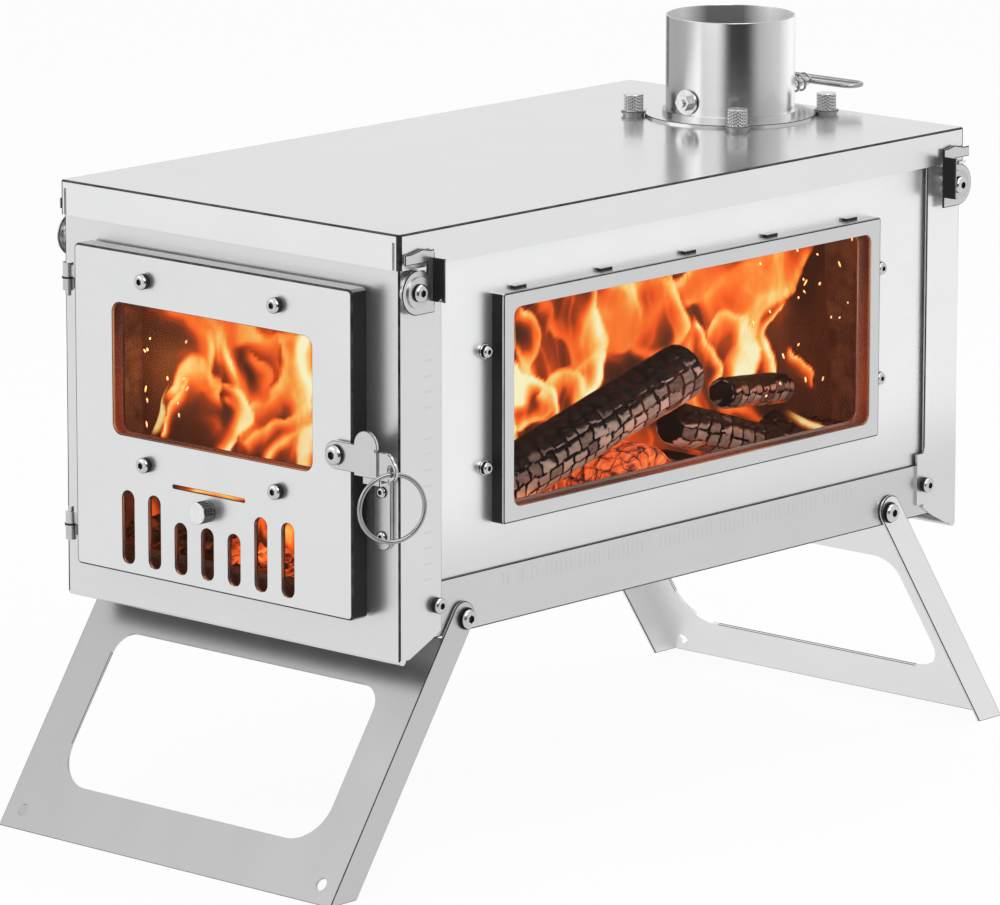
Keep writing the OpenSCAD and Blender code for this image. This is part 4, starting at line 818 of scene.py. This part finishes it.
def bolt_places(node):
    """Boxes of a node's separate bolts, from the loose parts of its mesh."""
    form = start_form()
    form.from_mesh(nodes[node].data)
    bmesh.ops.remove_doubles(form, verts=form.verts, dist=0.000004)
    boxes, left = [], set(form.verts)
    while left:
        group, queue = set(), [next(iter(left))]
        while queue:
            v = queue.pop()
            if v not in group:
                group.add(v)
                queue += [e.other_vert(v) for e in v.link_edges]
        left -= group
        low = Vector([min(v.co[i] for v in group) for i in range(3)])
        high = Vector([max(v.co[i] for v in group) for i in range(3)])
        boxes.append((low, high))
    form.free()
    return sorted(boxes, key=lambda box: tuple(round(part * 10000) for part in box[0]))


def make_bolts(node, body, head, rings, nut, outward=None):
    """Socket-head bolts in the place of a CAD node's: head (radius, height), rings (radius, start, end, finish)
    and nut (radius, start, end), measured inwards from the outer end."""
    form = start_form()
    cap = socket_head(*head)
    for low, high in bolt_places(node):
        centre = (low + high) / 2 / MM
        way = Vector(outward) if outward else Vector((1 if centre.x > 0 else -1, 0, 0))
        end = centre.copy()
        axis = 0 if way.x else 1
        end[axis] = (high if way[axis] > 0 else low)[axis] / MM
        add_copy(form, cap, facing(end - way * head[1], way))
        for radius, start, stop, finish in rings:
            disc = plain_disc(radius, stop - start)
            add_copy(form, disc, facing(end - way * stop, way), finish)
            disc.free()
        if nut:
            hexagon = hex_nut(nut[0], nut[2] - nut[1])
            add_copy(form, hexagon, facing(end - way * nut[2], way), 0)
            hexagon.free()
    cap.free()
    make_piece(node + "_turned", form, [bright_steel, black_and_shade_steel, sooty_steel_painted_glow], body, (node,))


def make_fasteners():
    forwards = (0, -1, 0)
    # Rings with finish 1 are black spacers; their black also paints the shade round the heads.
    make_bolts("window_bolts", "stove", (2.9, 1.7), [(2.5, 1.7, 2.2, 1), (3.5, 2.2, 2.9, 0), (3.0, 2.9, 3.3, 1),
                                                     (3.6, 3.3, 4.0, 0), (2.0, 4.0, 9.8, 0)], (4.0, 6.4, 8.8))
    make_bolts("flange_bolts", "stove", (3.6, 2.2), [(3.5, 2.2, 4.0, 1), (2.0, 4.0, 11.0, 0)], (4.0, 7.6, 10.0))
    make_bolts("clip_bolts", "stove", (4.0, 2.4), [(2.0, 2.4, 13.8, 0)], (4.0, 10.4, 12.8))
    make_bolts("leg_bolts", "stove", (4.4, 2.6), [(2.5, 2.6, 11.2, 0)], (4.0, 7.8, 10.2))
    make_bolts("door_bolts", "door", (3.6, 2.2), [(3.5, 2.2, 4.0, 1), (2.0, 4.0, 14.2, 0)], (4.0, 11.8, 14.2), forwards)
    make_bolts("latch_bolt", "door", (4.6, 2.8), [(2.0, 2.8, 10.2, 0), (4.2, 4.5, 5.8, 1)], (4.0, 7.0, 9.4), forwards)
    make_bolts("keeper_screws", "stove", (2.6, 1.6), [(1.5, 1.6, 8.1, 0)], None, forwards)

# ---- Flue, knob and spring ----

def make_flue():
    form = node_form("flue_collar")
    round_edges(form, 0.25, lambda edge: middle(edge).z > 0.33)
    make_piece("flue_collar_spun", form, [spun_steel, bright_steel], "stove", ("flue_collar",))
    form = node_form("flue_flange")
    round_edges(form, 0.3, lambda edge: middle(edge).z > 0.2933)
    make_piece("flue_flange_spun", form, [lid_steel, painted_dark_edge_steel], "stove", ("flue_flange",))
    form = node_form("thumb_screws")
    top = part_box("thumb_screws")[1].z
    round_edges(form, 0.3, level(2, top))
    paint(form, 2, lambda face: abs(face.normal.z) < 0.5)
    make_piece("thumb_screws_turned", form, [clip_steel, bright_steel, knurl], "stove", ("thumb_screws",))
    form = node_form("thumb_washers")
    round_edges(form, 0.3, level(2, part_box("thumb_washers")[1].z))
    make_piece("thumb_washers_turned", form, [shaded_steel, painted_dark_edge_steel], "stove", ("thumb_washers",))


def make_round_parts():
    """Pins, washers, rod, loop and ring: the nodes' own shapes, their round faces smooth."""
    plan = (("hinge_pins", "stove"), ("panel_hinge_knuckles", "stove"), ("clip_washers", "stove"),
            ("door_hinge_knuckles", "door"), ("damper_nut", "damper"), ("damper_rod", "damper"),
            ("damper_washers", "damper"), ("damper_loop", "damper"), ("latch_ring", "pull_ring"))
    for node, body in plan:
        finish = wire_steel if node in ("damper_loop", "latch_ring") else bright_steel
        make_piece(node + "_smooth", node_form(node), [finish], body, (node,), 50)


def make_spring():
    """The coil on the damper's rod, wound with the screw form of spin."""
    low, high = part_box("damper_spring")
    centre = (low + high) / 2
    wire, turns, steps = 1.2 * MM, 5, 16
    radius, length = 4.6 * MM - wire / 2, high.y - low.y - wire
    form = start_form()
    place = Matrix.Translation((centre.x + radius, low.y + wire / 2, centre.z))
    ring = bmesh.ops.create_circle(form, segments=8, radius=wire / 2, cap_ends=False, matrix=place)["verts"]
    geom = ring + list({e for v in ring for e in v.link_edges})
    bmesh.ops.spin(form, geom=geom, cent=(centre.x, low.y + wire / 2, centre.z), axis=(0, 1, 0),
                   dvec=(0, length / (turns * steps), 0), angle=math.tau * turns, steps=turns * steps)
    bmesh.ops.holes_fill(form, edges=[e for e in form.edges if e.is_boundary])
    bmesh.ops.recalc_face_normals(form, faces=form.faces)
    make_piece("damper_spring_wound", form, [wire_steel], "damper", ("damper_spring",), smooth=60)


def make_knob():
    form = node_form("air_knob")
    round_edges(form, 0.35, level(1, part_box("air_knob")[0].y))
    paint(form, 2, lambda face: face.normal.y > -0.9)
    finishes = [knob_steel, bright_steel, dark_knurl]
    make_piece("air_knob_turned", form, finishes, "air_control", ("air_knob",))


# ---- The fire ----

def blend_points(points, t):
    """A smooth curve through points, t from 0 to 1."""
    place = t * (len(points) - 1)
    i = min(int(place), len(points) - 2)
    t = place - i
    p = [Vector(points[max(0, min(k, len(points) - 1))]) for k in range(i - 1, i + 3)]
    return 0.5 * (2 * p[1] + (p[2] - p[0]) * t + (2 * p[0] - 5 * p[1] + 4 * p[2] - p[3]) * t * t
                  + (3 * p[1] - p[0] - 3 * p[2] + p[3]) * t ** 3)


def shape_tongue(form, points, width, depth, plane):
    """One flame ribbon: a grid laid along a path given in a wall's own (along, up) millimetres."""
    strand = form.loops.layers.uv["strand"]
    start = len(form.verts)
    first = len(form.faces)
    bmesh.ops.create_grid(form, x_segments=8, y_segments=30, size=0.5, calc_uvs=False)
    form.verts.ensure_lookup_table()
    form.faces.ensure_lookup_table()
    made = form.verts[start:]
    coords = {v: (v.co.x + 0.5, v.co.y + 0.5) for v in made}
    for face in form.faces[first:]:
        for loop in face.loops:
            loop[strand].uv = coords[loop.vert]
    for v, (u, t) in coords.items():
        here, ahead = blend_points(points, t), blend_points(points, min(1, t + 0.02))
        behind = blend_points(points, max(0, t - 0.02))
        way = (ahead - behind).normalized()
        side = Vector((-way.y, way.x))
        spread = width * (0.55 + 0.9 * math.sin(math.pi * min(1, t * 1.25)) ** 0.8) * (1 - t ** 3)
        flat = here + side * (u - 0.5) * spread
        bulge = depth + 3 * math.sin(u * math.pi) + 4 * math.sin(t * 5 + points[0][0])
        v.co = plane(flat, bulge)


def right_wall(flat, depth):
    return Vector((40 + depth, flat.x, flat.y)) * MM


def left_wall(flat, depth):
    return Vector((-46 - depth, flat.x, flat.y)) * MM


def door_wall(flat, depth):
    return Vector((flat.x, -150 - depth, flat.y)) * MM


SIDE_FLAMES = [
    ([(-30, 185), (-29, 194), (-24, 200), (-28, 207)], 11, 0.97, 0),
    ([(-30, 198), (-19, 191), (-9, 183), (-3, 175), (-1, 165)], 7, 0.98, 1),
    ([(14, 178), (24, 187), (28, 196), (31, 205), (25, 215), (27, 227)], 8, 0.9, -1),
    ([(-29, 226), (-20, 221), (-15, 212), (-21, 205), (-27, 200)], 6, 0.8, 1),
    ([(-13, 182), (-4, 187), (6, 187), (16, 180), (24, 171)], 9, 0.86, 1),
    ([(5, 187), (16, 194), (28, 196)], 5, 0.72, 0),
    ([(76, 227), (83, 217), (87, 207), (84, 199), (76, 193), (67, 193)], 6, 0.8, 1),
    ([(65, 192), (56, 197), (49, 203)], 5, 0.62, 0),
    ([(102, 228), (89, 223), (78, 220), (63, 225), (52, 224), (39, 229)], 7, 0.74, -1),
    ([(44, 221), (52, 211), (49, 202), (39, 200)], 7, 0.62, 1),
    ([(95, 203), (101, 195), (110, 185), (117, 176), (110, 168), (117, 161), (132, 157)], 6, 0.88, 1),
    ([(132, 171), (133, 183), (128, 197), (133, 208), (146, 215), (165, 218), (176, 226)], 21, 0.84, -1),
    ([(134, 172), (136, 184), (131, 194)], 14, 0.97, -1),
    ([(151, 169), (149, 181), (146, 193), (155, 203)], 6, 0.93, -1),
    ([(108, 198), (119, 200), (131, 198)], 7, 0.8, 1),
    ([(108, 212), (125, 217), (143, 223), (157, 227)], 15, 0.66, 1),
    ([(92, 219), (110, 226), (132, 227), (151, 230)], 12, 0.6, -1),
    ([(61, 208), (70, 215), (82, 220)], 10, 0.6, 0),
    ([(200, 138), (202, 146), (197, 152)], 5, 0.85, 0),
    ([(167, 176), (173, 170), (177, 163)], 6, 0.84, 1),
    ([(202, 156), (212, 150), (223, 147)], 9, 0.62, 0),
    ([(211, 142), (220, 145), (226, 148)], 6, 0.72, 0),
    ([(116, 161), (132, 154), (148, 149)], 6, 0.6, 0),
    ([(-31, 171), (-20, 174), (-8, 174)], 6, 0.8, -1),
    ([(0, 213), (9, 205), (12, 196), (5, 192)], 7, 0.62, -1),
    ([(-13, 229), (-2, 220), (-5, 212)], 7, 0.55, 1),
]
DOOR_FLAMES = [
    ([(-90, 228), (-78, 226), (-67, 220), (-54, 216), (-44, 215)], 11, 0.62, 1),
    ([(-67, 230), (-51, 226), (-36, 226), (-25, 230)], 11, 0.56, -1),
    ([(-79, 190), (-75, 198), (-67, 204), (-58, 201), (-56, 194)], 11, 0.8, 1),
    ([(-85, 172), (-83, 179), (-79, 186), (-76, 194)], 5, 0.88, 1),
    ([(-59, 218), (-61, 211), (-58, 203)], 6, 0.74, 1),
    ([(-51, 167), (-44, 178), (-35, 188), (-39, 196), (-50, 199)], 6, 0.9, -1),
    ([(-41, 231), (-31, 223), (-23, 221), (-11, 225), (1, 224)], 9, 0.74, 1),
    ([(-12, 224), (-10, 215), (-14, 204), (-25, 195), (-34, 190)], 7, 0.78, -1),
    ([(3, 229), (-1, 219), (-4, 206), (-1, 192), (2, 178), (2, 166)], 12, 0.84, 0),
    ([(4, 225), (1, 212), (2, 197)], 6, 0.95, 0),
    ([(-33, 173), (-23, 183), (-9, 188), (-1, 195)], 6, 0.74, 1),
    ([(-25, 163), (-19, 174), (-8, 181)], 5, 0.8, 0),
    ([(-48, 193), (-37, 192), (-25, 197)], 5, 0.6, 0),
    ([(-30, 213), (-24, 207), (-28, 199)], 6, 0.62, 1),
    ([(-116, 126), (-107, 126)], 10, 0.52, 0),
    ([(-99, 132), (-90, 132)], 11, 0.5, 0),
    ([(-80, 146), (-59, 148), (-38, 147)], 4, 0.84, 0),
    ([(-31, 134), (-26, 140), (-21, 134)], 9, 0.62, 0),
    ([(-13, 132), (-8, 138), (-6, 131)], 10, 0.86, 0),
    ([(-30, 123), (-19, 122)], 5, 0.45, 0),
    ([(-12, 121), (-4, 120)], 5, 0.5, 0),
    ([(-81, 118), (-74, 118)], 9, 0.26, 0),
    ([(-65, 117), (-56, 117)], 9, 0.3, 0),
    ([(-47, 114), (-40, 114)], 9, 0.28, 0),
]
SIDE_TONGUES = [
    ([(119, 163), (133, 154), (155, 148), (173, 151), (178, 171)], 5, 18),
    ([(-90, 150), (-96, 176), (-84, 196), (-92, 220), (-82, 244)], 20, 6),
    ([(-120, 150), (-112, 178), (-128, 200), (-118, 226)], 18, 3),
    ([(-66, 152), (-60, 176), (-72, 196), (-64, 220), (-70, 246)], 15, 9),
]
DOOR_TONGUES = [
    ([(-85, 172), (-83, 179), (-78, 189), (-68, 201)], 7, 4),
    ([(20, 160), (14, 185), (28, 205), (20, 232)], 15, 5),
    ([(58, 160), (62, 188), (50, 208), (60, 236)], 14, 2),
]


def flame_profile(off, lean):
    """How hot a flame is at a distance from its middle, in half widths: crisp on the side it leans to."""
    if not lean:
        return math.exp(-1.6 * off * off)
    off *= lean
    crisp = max(0, min(1, (1 - off) / 0.3))
    soft = max(0, min(1, (off + 1.9) / 2.3))
    return crisp * crisp * (3 - 2 * crisp) * soft * soft


def heat_of(flames):
    """Gives a function that tells how hot the curtain is at (along, up) millimetres."""
    lines = []
    for points, width, strength, lean in flames:
        curve = [blend_points(points, k / 22) for k in range(23)]
        low = Vector((min(c.x for c in curve), min(c.y for c in curve))) - Vector((width, width)) * 1.6
        high = Vector((max(c.x for c in curve), max(c.y for c in curve))) + Vector((width, width)) * 1.6
        lines.append((curve, width, strength, lean, low, high))

    def heat(flat, level_of):
        cloud = Vector((flat.x, flat.y, 0))
        push = noise.noise_vector(cloud / 21) * 5.5 + noise.noise_vector(cloud / 8) * 1.8
        here = flat + push.xy
        swirl = here + noise.noise_vector(cloud / 34).xy * 16
        big = noise.noise(Vector((swirl.x / 19, swirl.y / 40, 2)))
        ridge = 1 - abs(noise.noise(Vector((swirl.x / 15, swirl.y / 34, 7)))) * 3.6
        hot = level_of(flat) * (0.78 + 1.35 * big + 0.42 * max(0, ridge) ** 2)
        for curve, width, strength, lean, low, high in lines:
            if not (low.x < here.x < high.x and low.y < here.y < high.y):
                continue
            k = min(range(23), key=lambda i: (curve[i] - here).length_squared)
            way = (curve[min(k + 1, 22)] - curve[max(k - 1, 0)]).normalized()
            t = k / 22
            half = width * 0.72 * (0.5 + 0.6 * math.sin(math.pi * min(1, 0.12 + t)) ** 0.7)
            step = here - curve[k]
            ends = max(0, 1 - max(0, abs(step.dot(way)) - 1) / (width * 0.7))
            off = (way.x * step.y - way.y * step.x) / half
            share = flame_profile(off, lean) ** 0.8 * ends * (1 - 0.25 * t)
            if strength > hot:
                hot += (strength + 0.05 - hot) * share
        return hot
    return heat


def make_tongues(name, tongues, plane):
    form = start_form()
    form.loops.layers.uv.new("strand")
    for points, width, depth in tongues:
        shape_tongue(form, points, width, depth, plane)
    make_piece(name, form, [tongue_fire], "stove", smooth=180)


def flame_wall(name, corner, along, up, steps, replaced, flames, level_of):
    """A gently waved curtain of flame whose heat attribute holds its tongues."""
    form = start_form()
    bmesh.ops.create_grid(form, x_segments=steps[0], y_segments=steps[1], size=0.5)
    layer = form.verts.layers.float.new("fire_heat")
    corner, along, up = Vector(corner), Vector(along), Vector(up)
    out = along.cross(up).normalized()
    heat = heat_of(flames)
    line = 1 if along.y else 0
    for v in form.verts:
        u, t = v.co.x + 0.5, v.co.y + 0.5
        wave = 3.0 * math.sin(u * 17) * math.sin(t * 5 + u * 4)
        flat = corner + along * u + up * t
        v[layer] = heat(Vector((flat[line], flat.z)), level_of)
        v.co = (flat + out * wave) * MM
    make_piece(name, form, [curtain_fire], "stove", replaced, 180)


def side_level(flat):
    """Clouds of flame over the front two thirds, a dim brown glow at the rear: painted firelight on the haze."""
    rear = max(0, min(1, (172 - flat.x + 0.75 * (flat.y - 205)) / 34))
    low = max(0, min(1, (flat.y - 128) / 30))
    return 0.115 + 0.30 * rear * rear * (3 - 2 * rear) * (0.35 + 0.65 * low)


def door_level(flat):
    """Dark on the left and behind the slots, flames on the right."""
    left = max(0, min(1, (flat.x + 84 + 0.5 * (flat.y - 200)) / 26))
    low = max(0, min(1, (flat.y - 164) / 14))
    return 0.10 + 0.36 * left * left * (3 - 2 * left) * low


def make_flames():
    flame_wall("flame_curtain_right", (24, -141, 122), (0, 335, 0), (0, 0, 135), (240, 98), ["flames_right"],
               SIDE_FLAMES, side_level)
    flame_wall("flame_curtain_left", (-30, -141, 122), (0, 335, 0), (0, 0, 135), (240, 98), ["flames_left"],
               SIDE_FLAMES, side_level)
    flame_wall("flame_curtain_front", (-101, -146, 122), (196, 0, 0), (0, 0, 152), (120, 96), ["flames_front"],
               DOOR_FLAMES, door_level)
    make_tongues("tongues_right", SIDE_TONGUES, right_wall)
    make_tongues("tongues_left", SIDE_TONGUES, left_wall)
    make_tongues("tongues_front", DOOR_TONGUES, door_wall)


def char_log(name, start, end, radius, seed, finish):
    """A round log in rows of charcoal blocks; the groove attribute is 1 in the cracks, tone differs by block."""
    start, end = Vector(start), Vector(end)
    length = (end - start).length
    around = int(math.tau * radius / 0.95)
    rings = int(length / 1.0)
    form = start_form()
    bmesh.ops.create_circle(form, segments=around, radius=radius, cap_ends=True)
    face = form.faces[:][0]
    bmesh.ops.inset_region(form, faces=[face], thickness=radius * 0.45, depth=0)
    rim = [e for e in form.edges if e.is_boundary]
    extruded = bmesh.ops.extrude_edge_only(form, edges=rim)["geom"]
    top = [v for v in extruded if isinstance(v, bmesh.types.BMVert)]
    bmesh.ops.translate(form, verts=top, vec=(0, 0, length))
    sides = [e for e in form.edges if abs(e.verts[0].co.z - e.verts[1].co.z) > 1]
    bmesh.ops.subdivide_edges(form, edges=sides, cuts=rings, use_grid_fill=True)
    cap = bmesh.ops.contextual_create(form, geom=[e for e in form.edges if e.is_boundary])["faces"]
    bmesh.ops.inset_region(form, faces=cap, thickness=radius * 0.45, depth=0)
    bmesh.ops.recalc_face_normals(form, faces=form.faces)
    groove, tone = form.verts.layers.float.new("groove"), form.verts.layers.float.new("tone")
    rows = max(5, round(math.tau * radius / 7))
    high = math.tau * radius / rows
    step = length / (rings + 1)
    for v in form.verts:
        v.co.z = round(v.co.z / step) * step
        angle = math.atan2(v.co.y, v.co.x)
        flat = Vector((math.cos(angle) * radius, math.sin(angle) * radius, v.co.z + seed * 40))
        warp = noise.noise_vector(flat / 9) * 2.2 + noise.noise_vector(flat / 3) * 0.8
        row = ((angle / math.tau + 0.5) * rows + warp.x / high) % rows
        number = int(row)
        across = min(row - number, 1 - row + number) * high
        long = 8.5 + 2 * noise.noise(Vector((number * 3.1, seed, 0)))
        place = (v.co.z + warp.y + 5 * noise.noise(Vector((number * 0.9, seed, 4)))) / long
        block = math.floor(place)
        ahead = min(place - block, 1 - place + block) * long
        deep = 0.75 + 0.5 * noise.noise(Vector((number * 1.7, block * 1.3, seed)))
        crack = max(1 - max(0, ahead - 0.25) / (1.0 * deep), 1 - max(0, across - 0.15) / (0.8 * deep), 0)
        crack = min(1, crack)
        lump = noise.noise(Vector((flat.x, flat.y, flat.z * 0.4)) / 17)
        fine = noise.noise(flat / 2.2)
        away = Vector((v.co.x, v.co.y, 0))
        reach = away.length / radius
        v[groove] = crack * (1 if reach > 0.6 else 0.4)
        v[tone] = 0.5 + 0.9 * noise.noise(Vector((number * 2.3 + 0.5, block * 2.7 + 0.5, seed + 0.5)))
        pull = 0.945 + 0.035 * lump + 0.010 * fine + 0.012 * (v[tone] - 0.5) - 0.9 / radius * crack ** 1.5
        soft = min(1, min(v.co.z, length - v.co.z) / (radius * 0.3))
        pull *= 1 - 0.16 * (1 - soft) ** 2
        v.co.x, v.co.y = v.co.x * min(pull, 0.995), v.co.y * min(pull, 0.995)
        if reach < 0.6:
            v.co.z += (0.6 + 0.7 * fine) * (-1 if v.co.z > length / 2 else 1)
    turn = (end - start).to_track_quat("Z", "Y").to_matrix().to_4x4()
    bmesh.ops.transform(form, matrix=Matrix.Scale(MM, 4) @ Matrix.Translation(start) @ turn, verts=form.verts)
    return make_piece(name, form, [finish], "stove", smooth=60)


LOGS = [
    ("log_front", (-87.1, -119, 128.6), (80.9, -119, 128.6), 8),
    ("log_middle", (-87.1, -1, 144.1), (80.9, -1, 144.1), 23.5),
    ("log_small", (-87.1, 71, 133.6), (80.9, 71, 133.6), 13),
    ("log_rear", (-87.1, 157, 136.6), (80.9, 157, 136.6), 16),
    ("log_leaning", (64.9, -147.9, 144.0), (64.9, 41.5, 194.6), 14),
    ("log_back", (42.9, 57.0, 163.5), (42.9, 131.0, 139.7), 11),
    ("log_top", (42.9, 93.0, 172.2), (18.9, 165.0, 160.9), 8),
]


def make_logs():
    """The logs of the CAD fire, charred."""
    for seed, (name, start, end, radius) in enumerate(LOGS):
        glowing = name in ("log_middle", "log_front")
        piece = char_log(name, start, end, radius, seed, ember_log if glowing else charred_wood)
        if seed == 0:
            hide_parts("firewood")


def ember_height(x, y):
    """Top of the coals at a place, in millimetres: heaped under the leaning log and behind the air slots."""
    rough = noise.noise(Vector((x, y, 3)) / 11) * 4 + abs(noise.noise(Vector((x, y, 9)) / 5)) * 5
    heap = 26 * math.exp(-((y - 30) / 42) ** 2) * math.exp(-((x - 48) / 34) ** 2)
    heap += 22 * math.exp(-((y - 10) / 50) ** 2) * math.exp(-((x + 50) / 36) ** 2)
    heap += 9 * math.exp(-((y + 158) / 12) ** 2) * (0.4 + 0.6 * math.exp(-((x + 62) / 40) ** 2))
    return 121.6 + max(0, rough + 3) + heap


def make_embers():
    """A bed of coals on the grate, with loose coals on it."""
    form = start_form()
    bmesh.ops.create_grid(form, x_segments=100, y_segments=190, size=0.5)
    for v in form.verts:
        x, y = -3.1 + v.co.x * 176, 4 + v.co.y * 360
        v.co = Vector((x, y, ember_height(x, y))) * MM
    make_piece("ember_bed", form, [ember], "stove", smooth=50)
    chance = random.Random(4)
    loose = [(chance.uniform(-60, 84), chance.uniform(-130, 120), chance.uniform(3, 8)) for _ in range(60)]
    spent = [(87, 36, 6.5), (84, 52, 3.5), (88, 60, 3), (86, -10, 3.2), (-80, 30, 6), (70, 84, 4)]
    for name, finish, places in (("coals", ember, loose), ("grey_coals", grey_coal, spent)):
        form = start_form()
        for x, y, size in places:
            before = len(form.verts)
            bmesh.ops.create_icosphere(form, subdivisions=3, radius=size)
            form.verts.ensure_lookup_table()
            ground = ember_height(x, y)
            for v in form.verts[before:]:
                v.co *= 1 + 0.3 * noise.noise(v.co / 3 + Vector((x, y, 0)))
                v.co = (Vector((v.co.x * 1.15, v.co.y * 1.3, v.co.z * 0.8)) + Vector((x, y, ground + size * 0.4))) * MM
        make_piece(name, form, [finish], "stove", smooth=50)


def make_sparks():
    """Sparks that fly where the flames end."""
    form = start_form()
    chance = random.Random(11)
    places = [(44, chance.uniform(112, 190), chance.uniform(165, 246)) for _ in range(26)]
    places += [(-50, y, z) for _, y, z in places[:18]]
    places += [(chance.uniform(-96, -66), -152, chance.uniform(172, 232)) for _ in range(12)]
    for place in places:
        before = len(form.verts)
        bmesh.ops.create_icosphere(form, subdivisions=1, radius=0.45 * MM)
        form.verts.ensure_lookup_table()
        long = chance.uniform(1.2, 4.2)
        turn = Matrix.Rotation(chance.uniform(-0.7, 0.7), 4, "X") @ Matrix.Rotation(chance.uniform(-0.7, 0.7), 4, "Y")
        moved = Matrix.Translation(Vector(place) * MM) @ turn @ Matrix.Diagonal((1, 1, long, 1))
        bmesh.ops.transform(form, matrix=moved, verts=form.verts[before:])
    make_piece("sparks", form, [spark], "stove", smooth=180)


# ---- Studio ----

def make_flag(name, heading, width, height):
    """A dark card, a metre from the flue, that only mirrors see: it gives round metal its dark bands."""
    form = start_form()
    bmesh.ops.create_grid(form, x_segments=1, y_segments=1, size=0.5)
    low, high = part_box("flue_collar")
    away = Matrix.Rotation(math.radians(heading), 4, "Z")
    stand = Matrix.Translation(((low.x + high.x) / 2, (low.y + high.y) / 2, 0)) @ away
    mesh = bpy.data.meshes.new(name)
    form.to_mesh(mesh)
    form.free()
    card = bpy.data.objects.new(name, mesh)
    card.matrix_world = (stand @ Matrix.Translation((1, 0, height / 2)) @ Matrix.Rotation(math.radians(90), 4, "Y")
                         @ Matrix.Diagonal((height, width, 1, 1)))
    cloth = Finish(name, Roughness=1.0, Specular_IOR_Level=0.0, Base_Color=rgb(0.012, 0.012, 0.012))
    _, y, _ = cloth.axes(cloth.place())
    cloth.set("Alpha", abs(y).rise(0.5, 0.16))
    mesh.materials.append(cloth.material)
    card.visible_camera = card.visible_diffuse = card.visible_shadow = card.visible_transmission = False
    bpy.context.scene.collection.objects.link(card)


def make_studio():
    """A white floor that keeps the shadow, a white world, and soft lamps."""
    scene = bpy.context.scene
    scene.view_settings.view_transform = "Standard"
    world = bpy.data.worlds.new("studio")
    scene.world = world
    world.use_nodes = True
    tree = world.node_tree
    tree.nodes.clear()
    rays = tree.nodes.new("ShaderNodeLightPath")
    seen = tree.nodes.new("ShaderNodeMath")
    seen.operation = "MAXIMUM"
    tree.links.new(rays.outputs["Is Camera Ray"], seen.inputs[0])
    tree.links.new(rays.outputs["Is Transmission Ray"], seen.inputs[1])
    seen_too = tree.nodes.new("ShaderNodeMath")
    seen_too.operation = "MAXIMUM"
    tree.links.new(seen.outputs[0], seen_too.inputs[0])
    tree.links.new(rays.outputs["Is Glossy Ray"], seen_too.inputs[1])
    light = tree.nodes.new("ShaderNodeBackground")
    light.inputs["Color"].default_value = rgb(0.97, 0.985, 1.0)
    light.inputs["Strength"].default_value = 0.62
    white = tree.nodes.new("ShaderNodeBackground")
    white.inputs["Color"].default_value = rgb(1, 1, 1)
    both = tree.nodes.new("ShaderNodeMixShader")
    out = tree.nodes.new("ShaderNodeOutputWorld")
    tree.links.new(seen_too.outputs[0], both.inputs[0])
    tree.links.new(light.outputs[0], both.inputs[1])
    tree.links.new(white.outputs[0], both.inputs[2])
    tree.links.new(both.outputs[0], out.inputs["Surface"])

    form = start_form()
    bmesh.ops.create_grid(form, x_segments=1, y_segments=1, size=6)
    mesh = bpy.data.meshes.new("floor")
    form.to_mesh(mesh)
    form.free()
    floor = bpy.data.objects.new("floor", mesh)
    scene.collection.objects.link(floor)
    pale = Finish("floor_paint", Roughness=0.9, Specular_IOR_Level=0.1)
    pale.set("Base Color", rgb(0.9, 0.9, 0.9))
    path = pale.node("ShaderNodeLightPath")
    seen = [Tone(pale, path.socket.node.outputs[name]) for name in
            ("Is Camera Ray", "Is Glossy Ray", "Is Transmission Ray")]
    glow = pale.node("ShaderNodeEmission", sockets={"Color": rgb(1, 1, 1), "Strength": 1.0})
    x, y, _ = pale.axes(pale.place())
    behind = (0.739 * y - 0.673 * x).rise(0.55, 0.9) * abs(0.673 * y + 0.739 * x).rise(1.1, 0.5)
    share = seen[0].most(seen[1] * (1 - 0.9 * behind)).most(seen[2]) * 0.93
    blend = pale.node("ShaderNodeMixShader", sockets={0: share, 1: Tone(pale, pale.shader.outputs[0]), 2: glow})
    pale.tree.links.new(blend.socket, pale.output.inputs["Surface"])
    mesh.materials.append(pale.material)

    make_flag("flag_front", -36, 1.6, 0.6)
    make_flag("flag_back", 162, 0.26, 0.36)
    for name, place, size, power in (("key", (1.6, -0.9, 1.5), 1.4, 15), ("fill", (-1.2, -1.8, 1.1), 1.6, 9),
                                     ("top", (0.1, 0.5, 2.0), 1.6, 11)):
        lamp = bpy.data.lights.new(name, "AREA")
        lamp.size = size
        lamp.energy = power
        stand = bpy.data.objects.new(name, lamp)
        scene.collection.objects.link(stand)
        aim = Vector((0, 0, 0.2)) - Vector(place)
        stand.matrix_world = Matrix.Translation(place) @ aim.to_track_quat("-Z", "Y").to_matrix().to_4x4()
    for name, place, power in (("fire_low", (86, 10, 132), 0.10), ("fire_mid", (74, -90, 150), 0.10),
                               ("fire_high", (60, 120, 225), 0.25), ("fire_door", (-84, -160, 205), 0.12),
                               ("fire_left", (-80, 40, 150), 0.15)):
        lamp = bpy.data.lights.new(name, "POINT")
        lamp.energy = power
        lamp.color = (1.0, 0.38, 0.12)
        lamp.shadow_soft_size = 0.012
        stand = bpy.data.objects.new(name, lamp)
        stand.location = Vector(place) * MM
        stand.visible_camera = stand.visible_glossy = False
        scene.collection.objects.link(stand)


tongue_fire = tongue_finish()
curtain_fire = flame_wall_finish()
charred_wood = charred_finish()
ember = ember_finish("ember", 75.0, 0.36, 0.66)
ember_log = ember_finish("ember_log", 100.0, 0.26, 0.66, grooved=True)
grey_coal = ash_finish()
spark = spark_finish()

set_camera()
make_studio()
dress_nodes()
make_lid()
make_panels()
make_window_frames()
make_door()
make_legs()
make_small_sheets()
make_fasteners()
make_flue()
make_round_parts()
make_spring()
make_knob()
make_flames()
make_logs()
make_embers()
make_sparks()
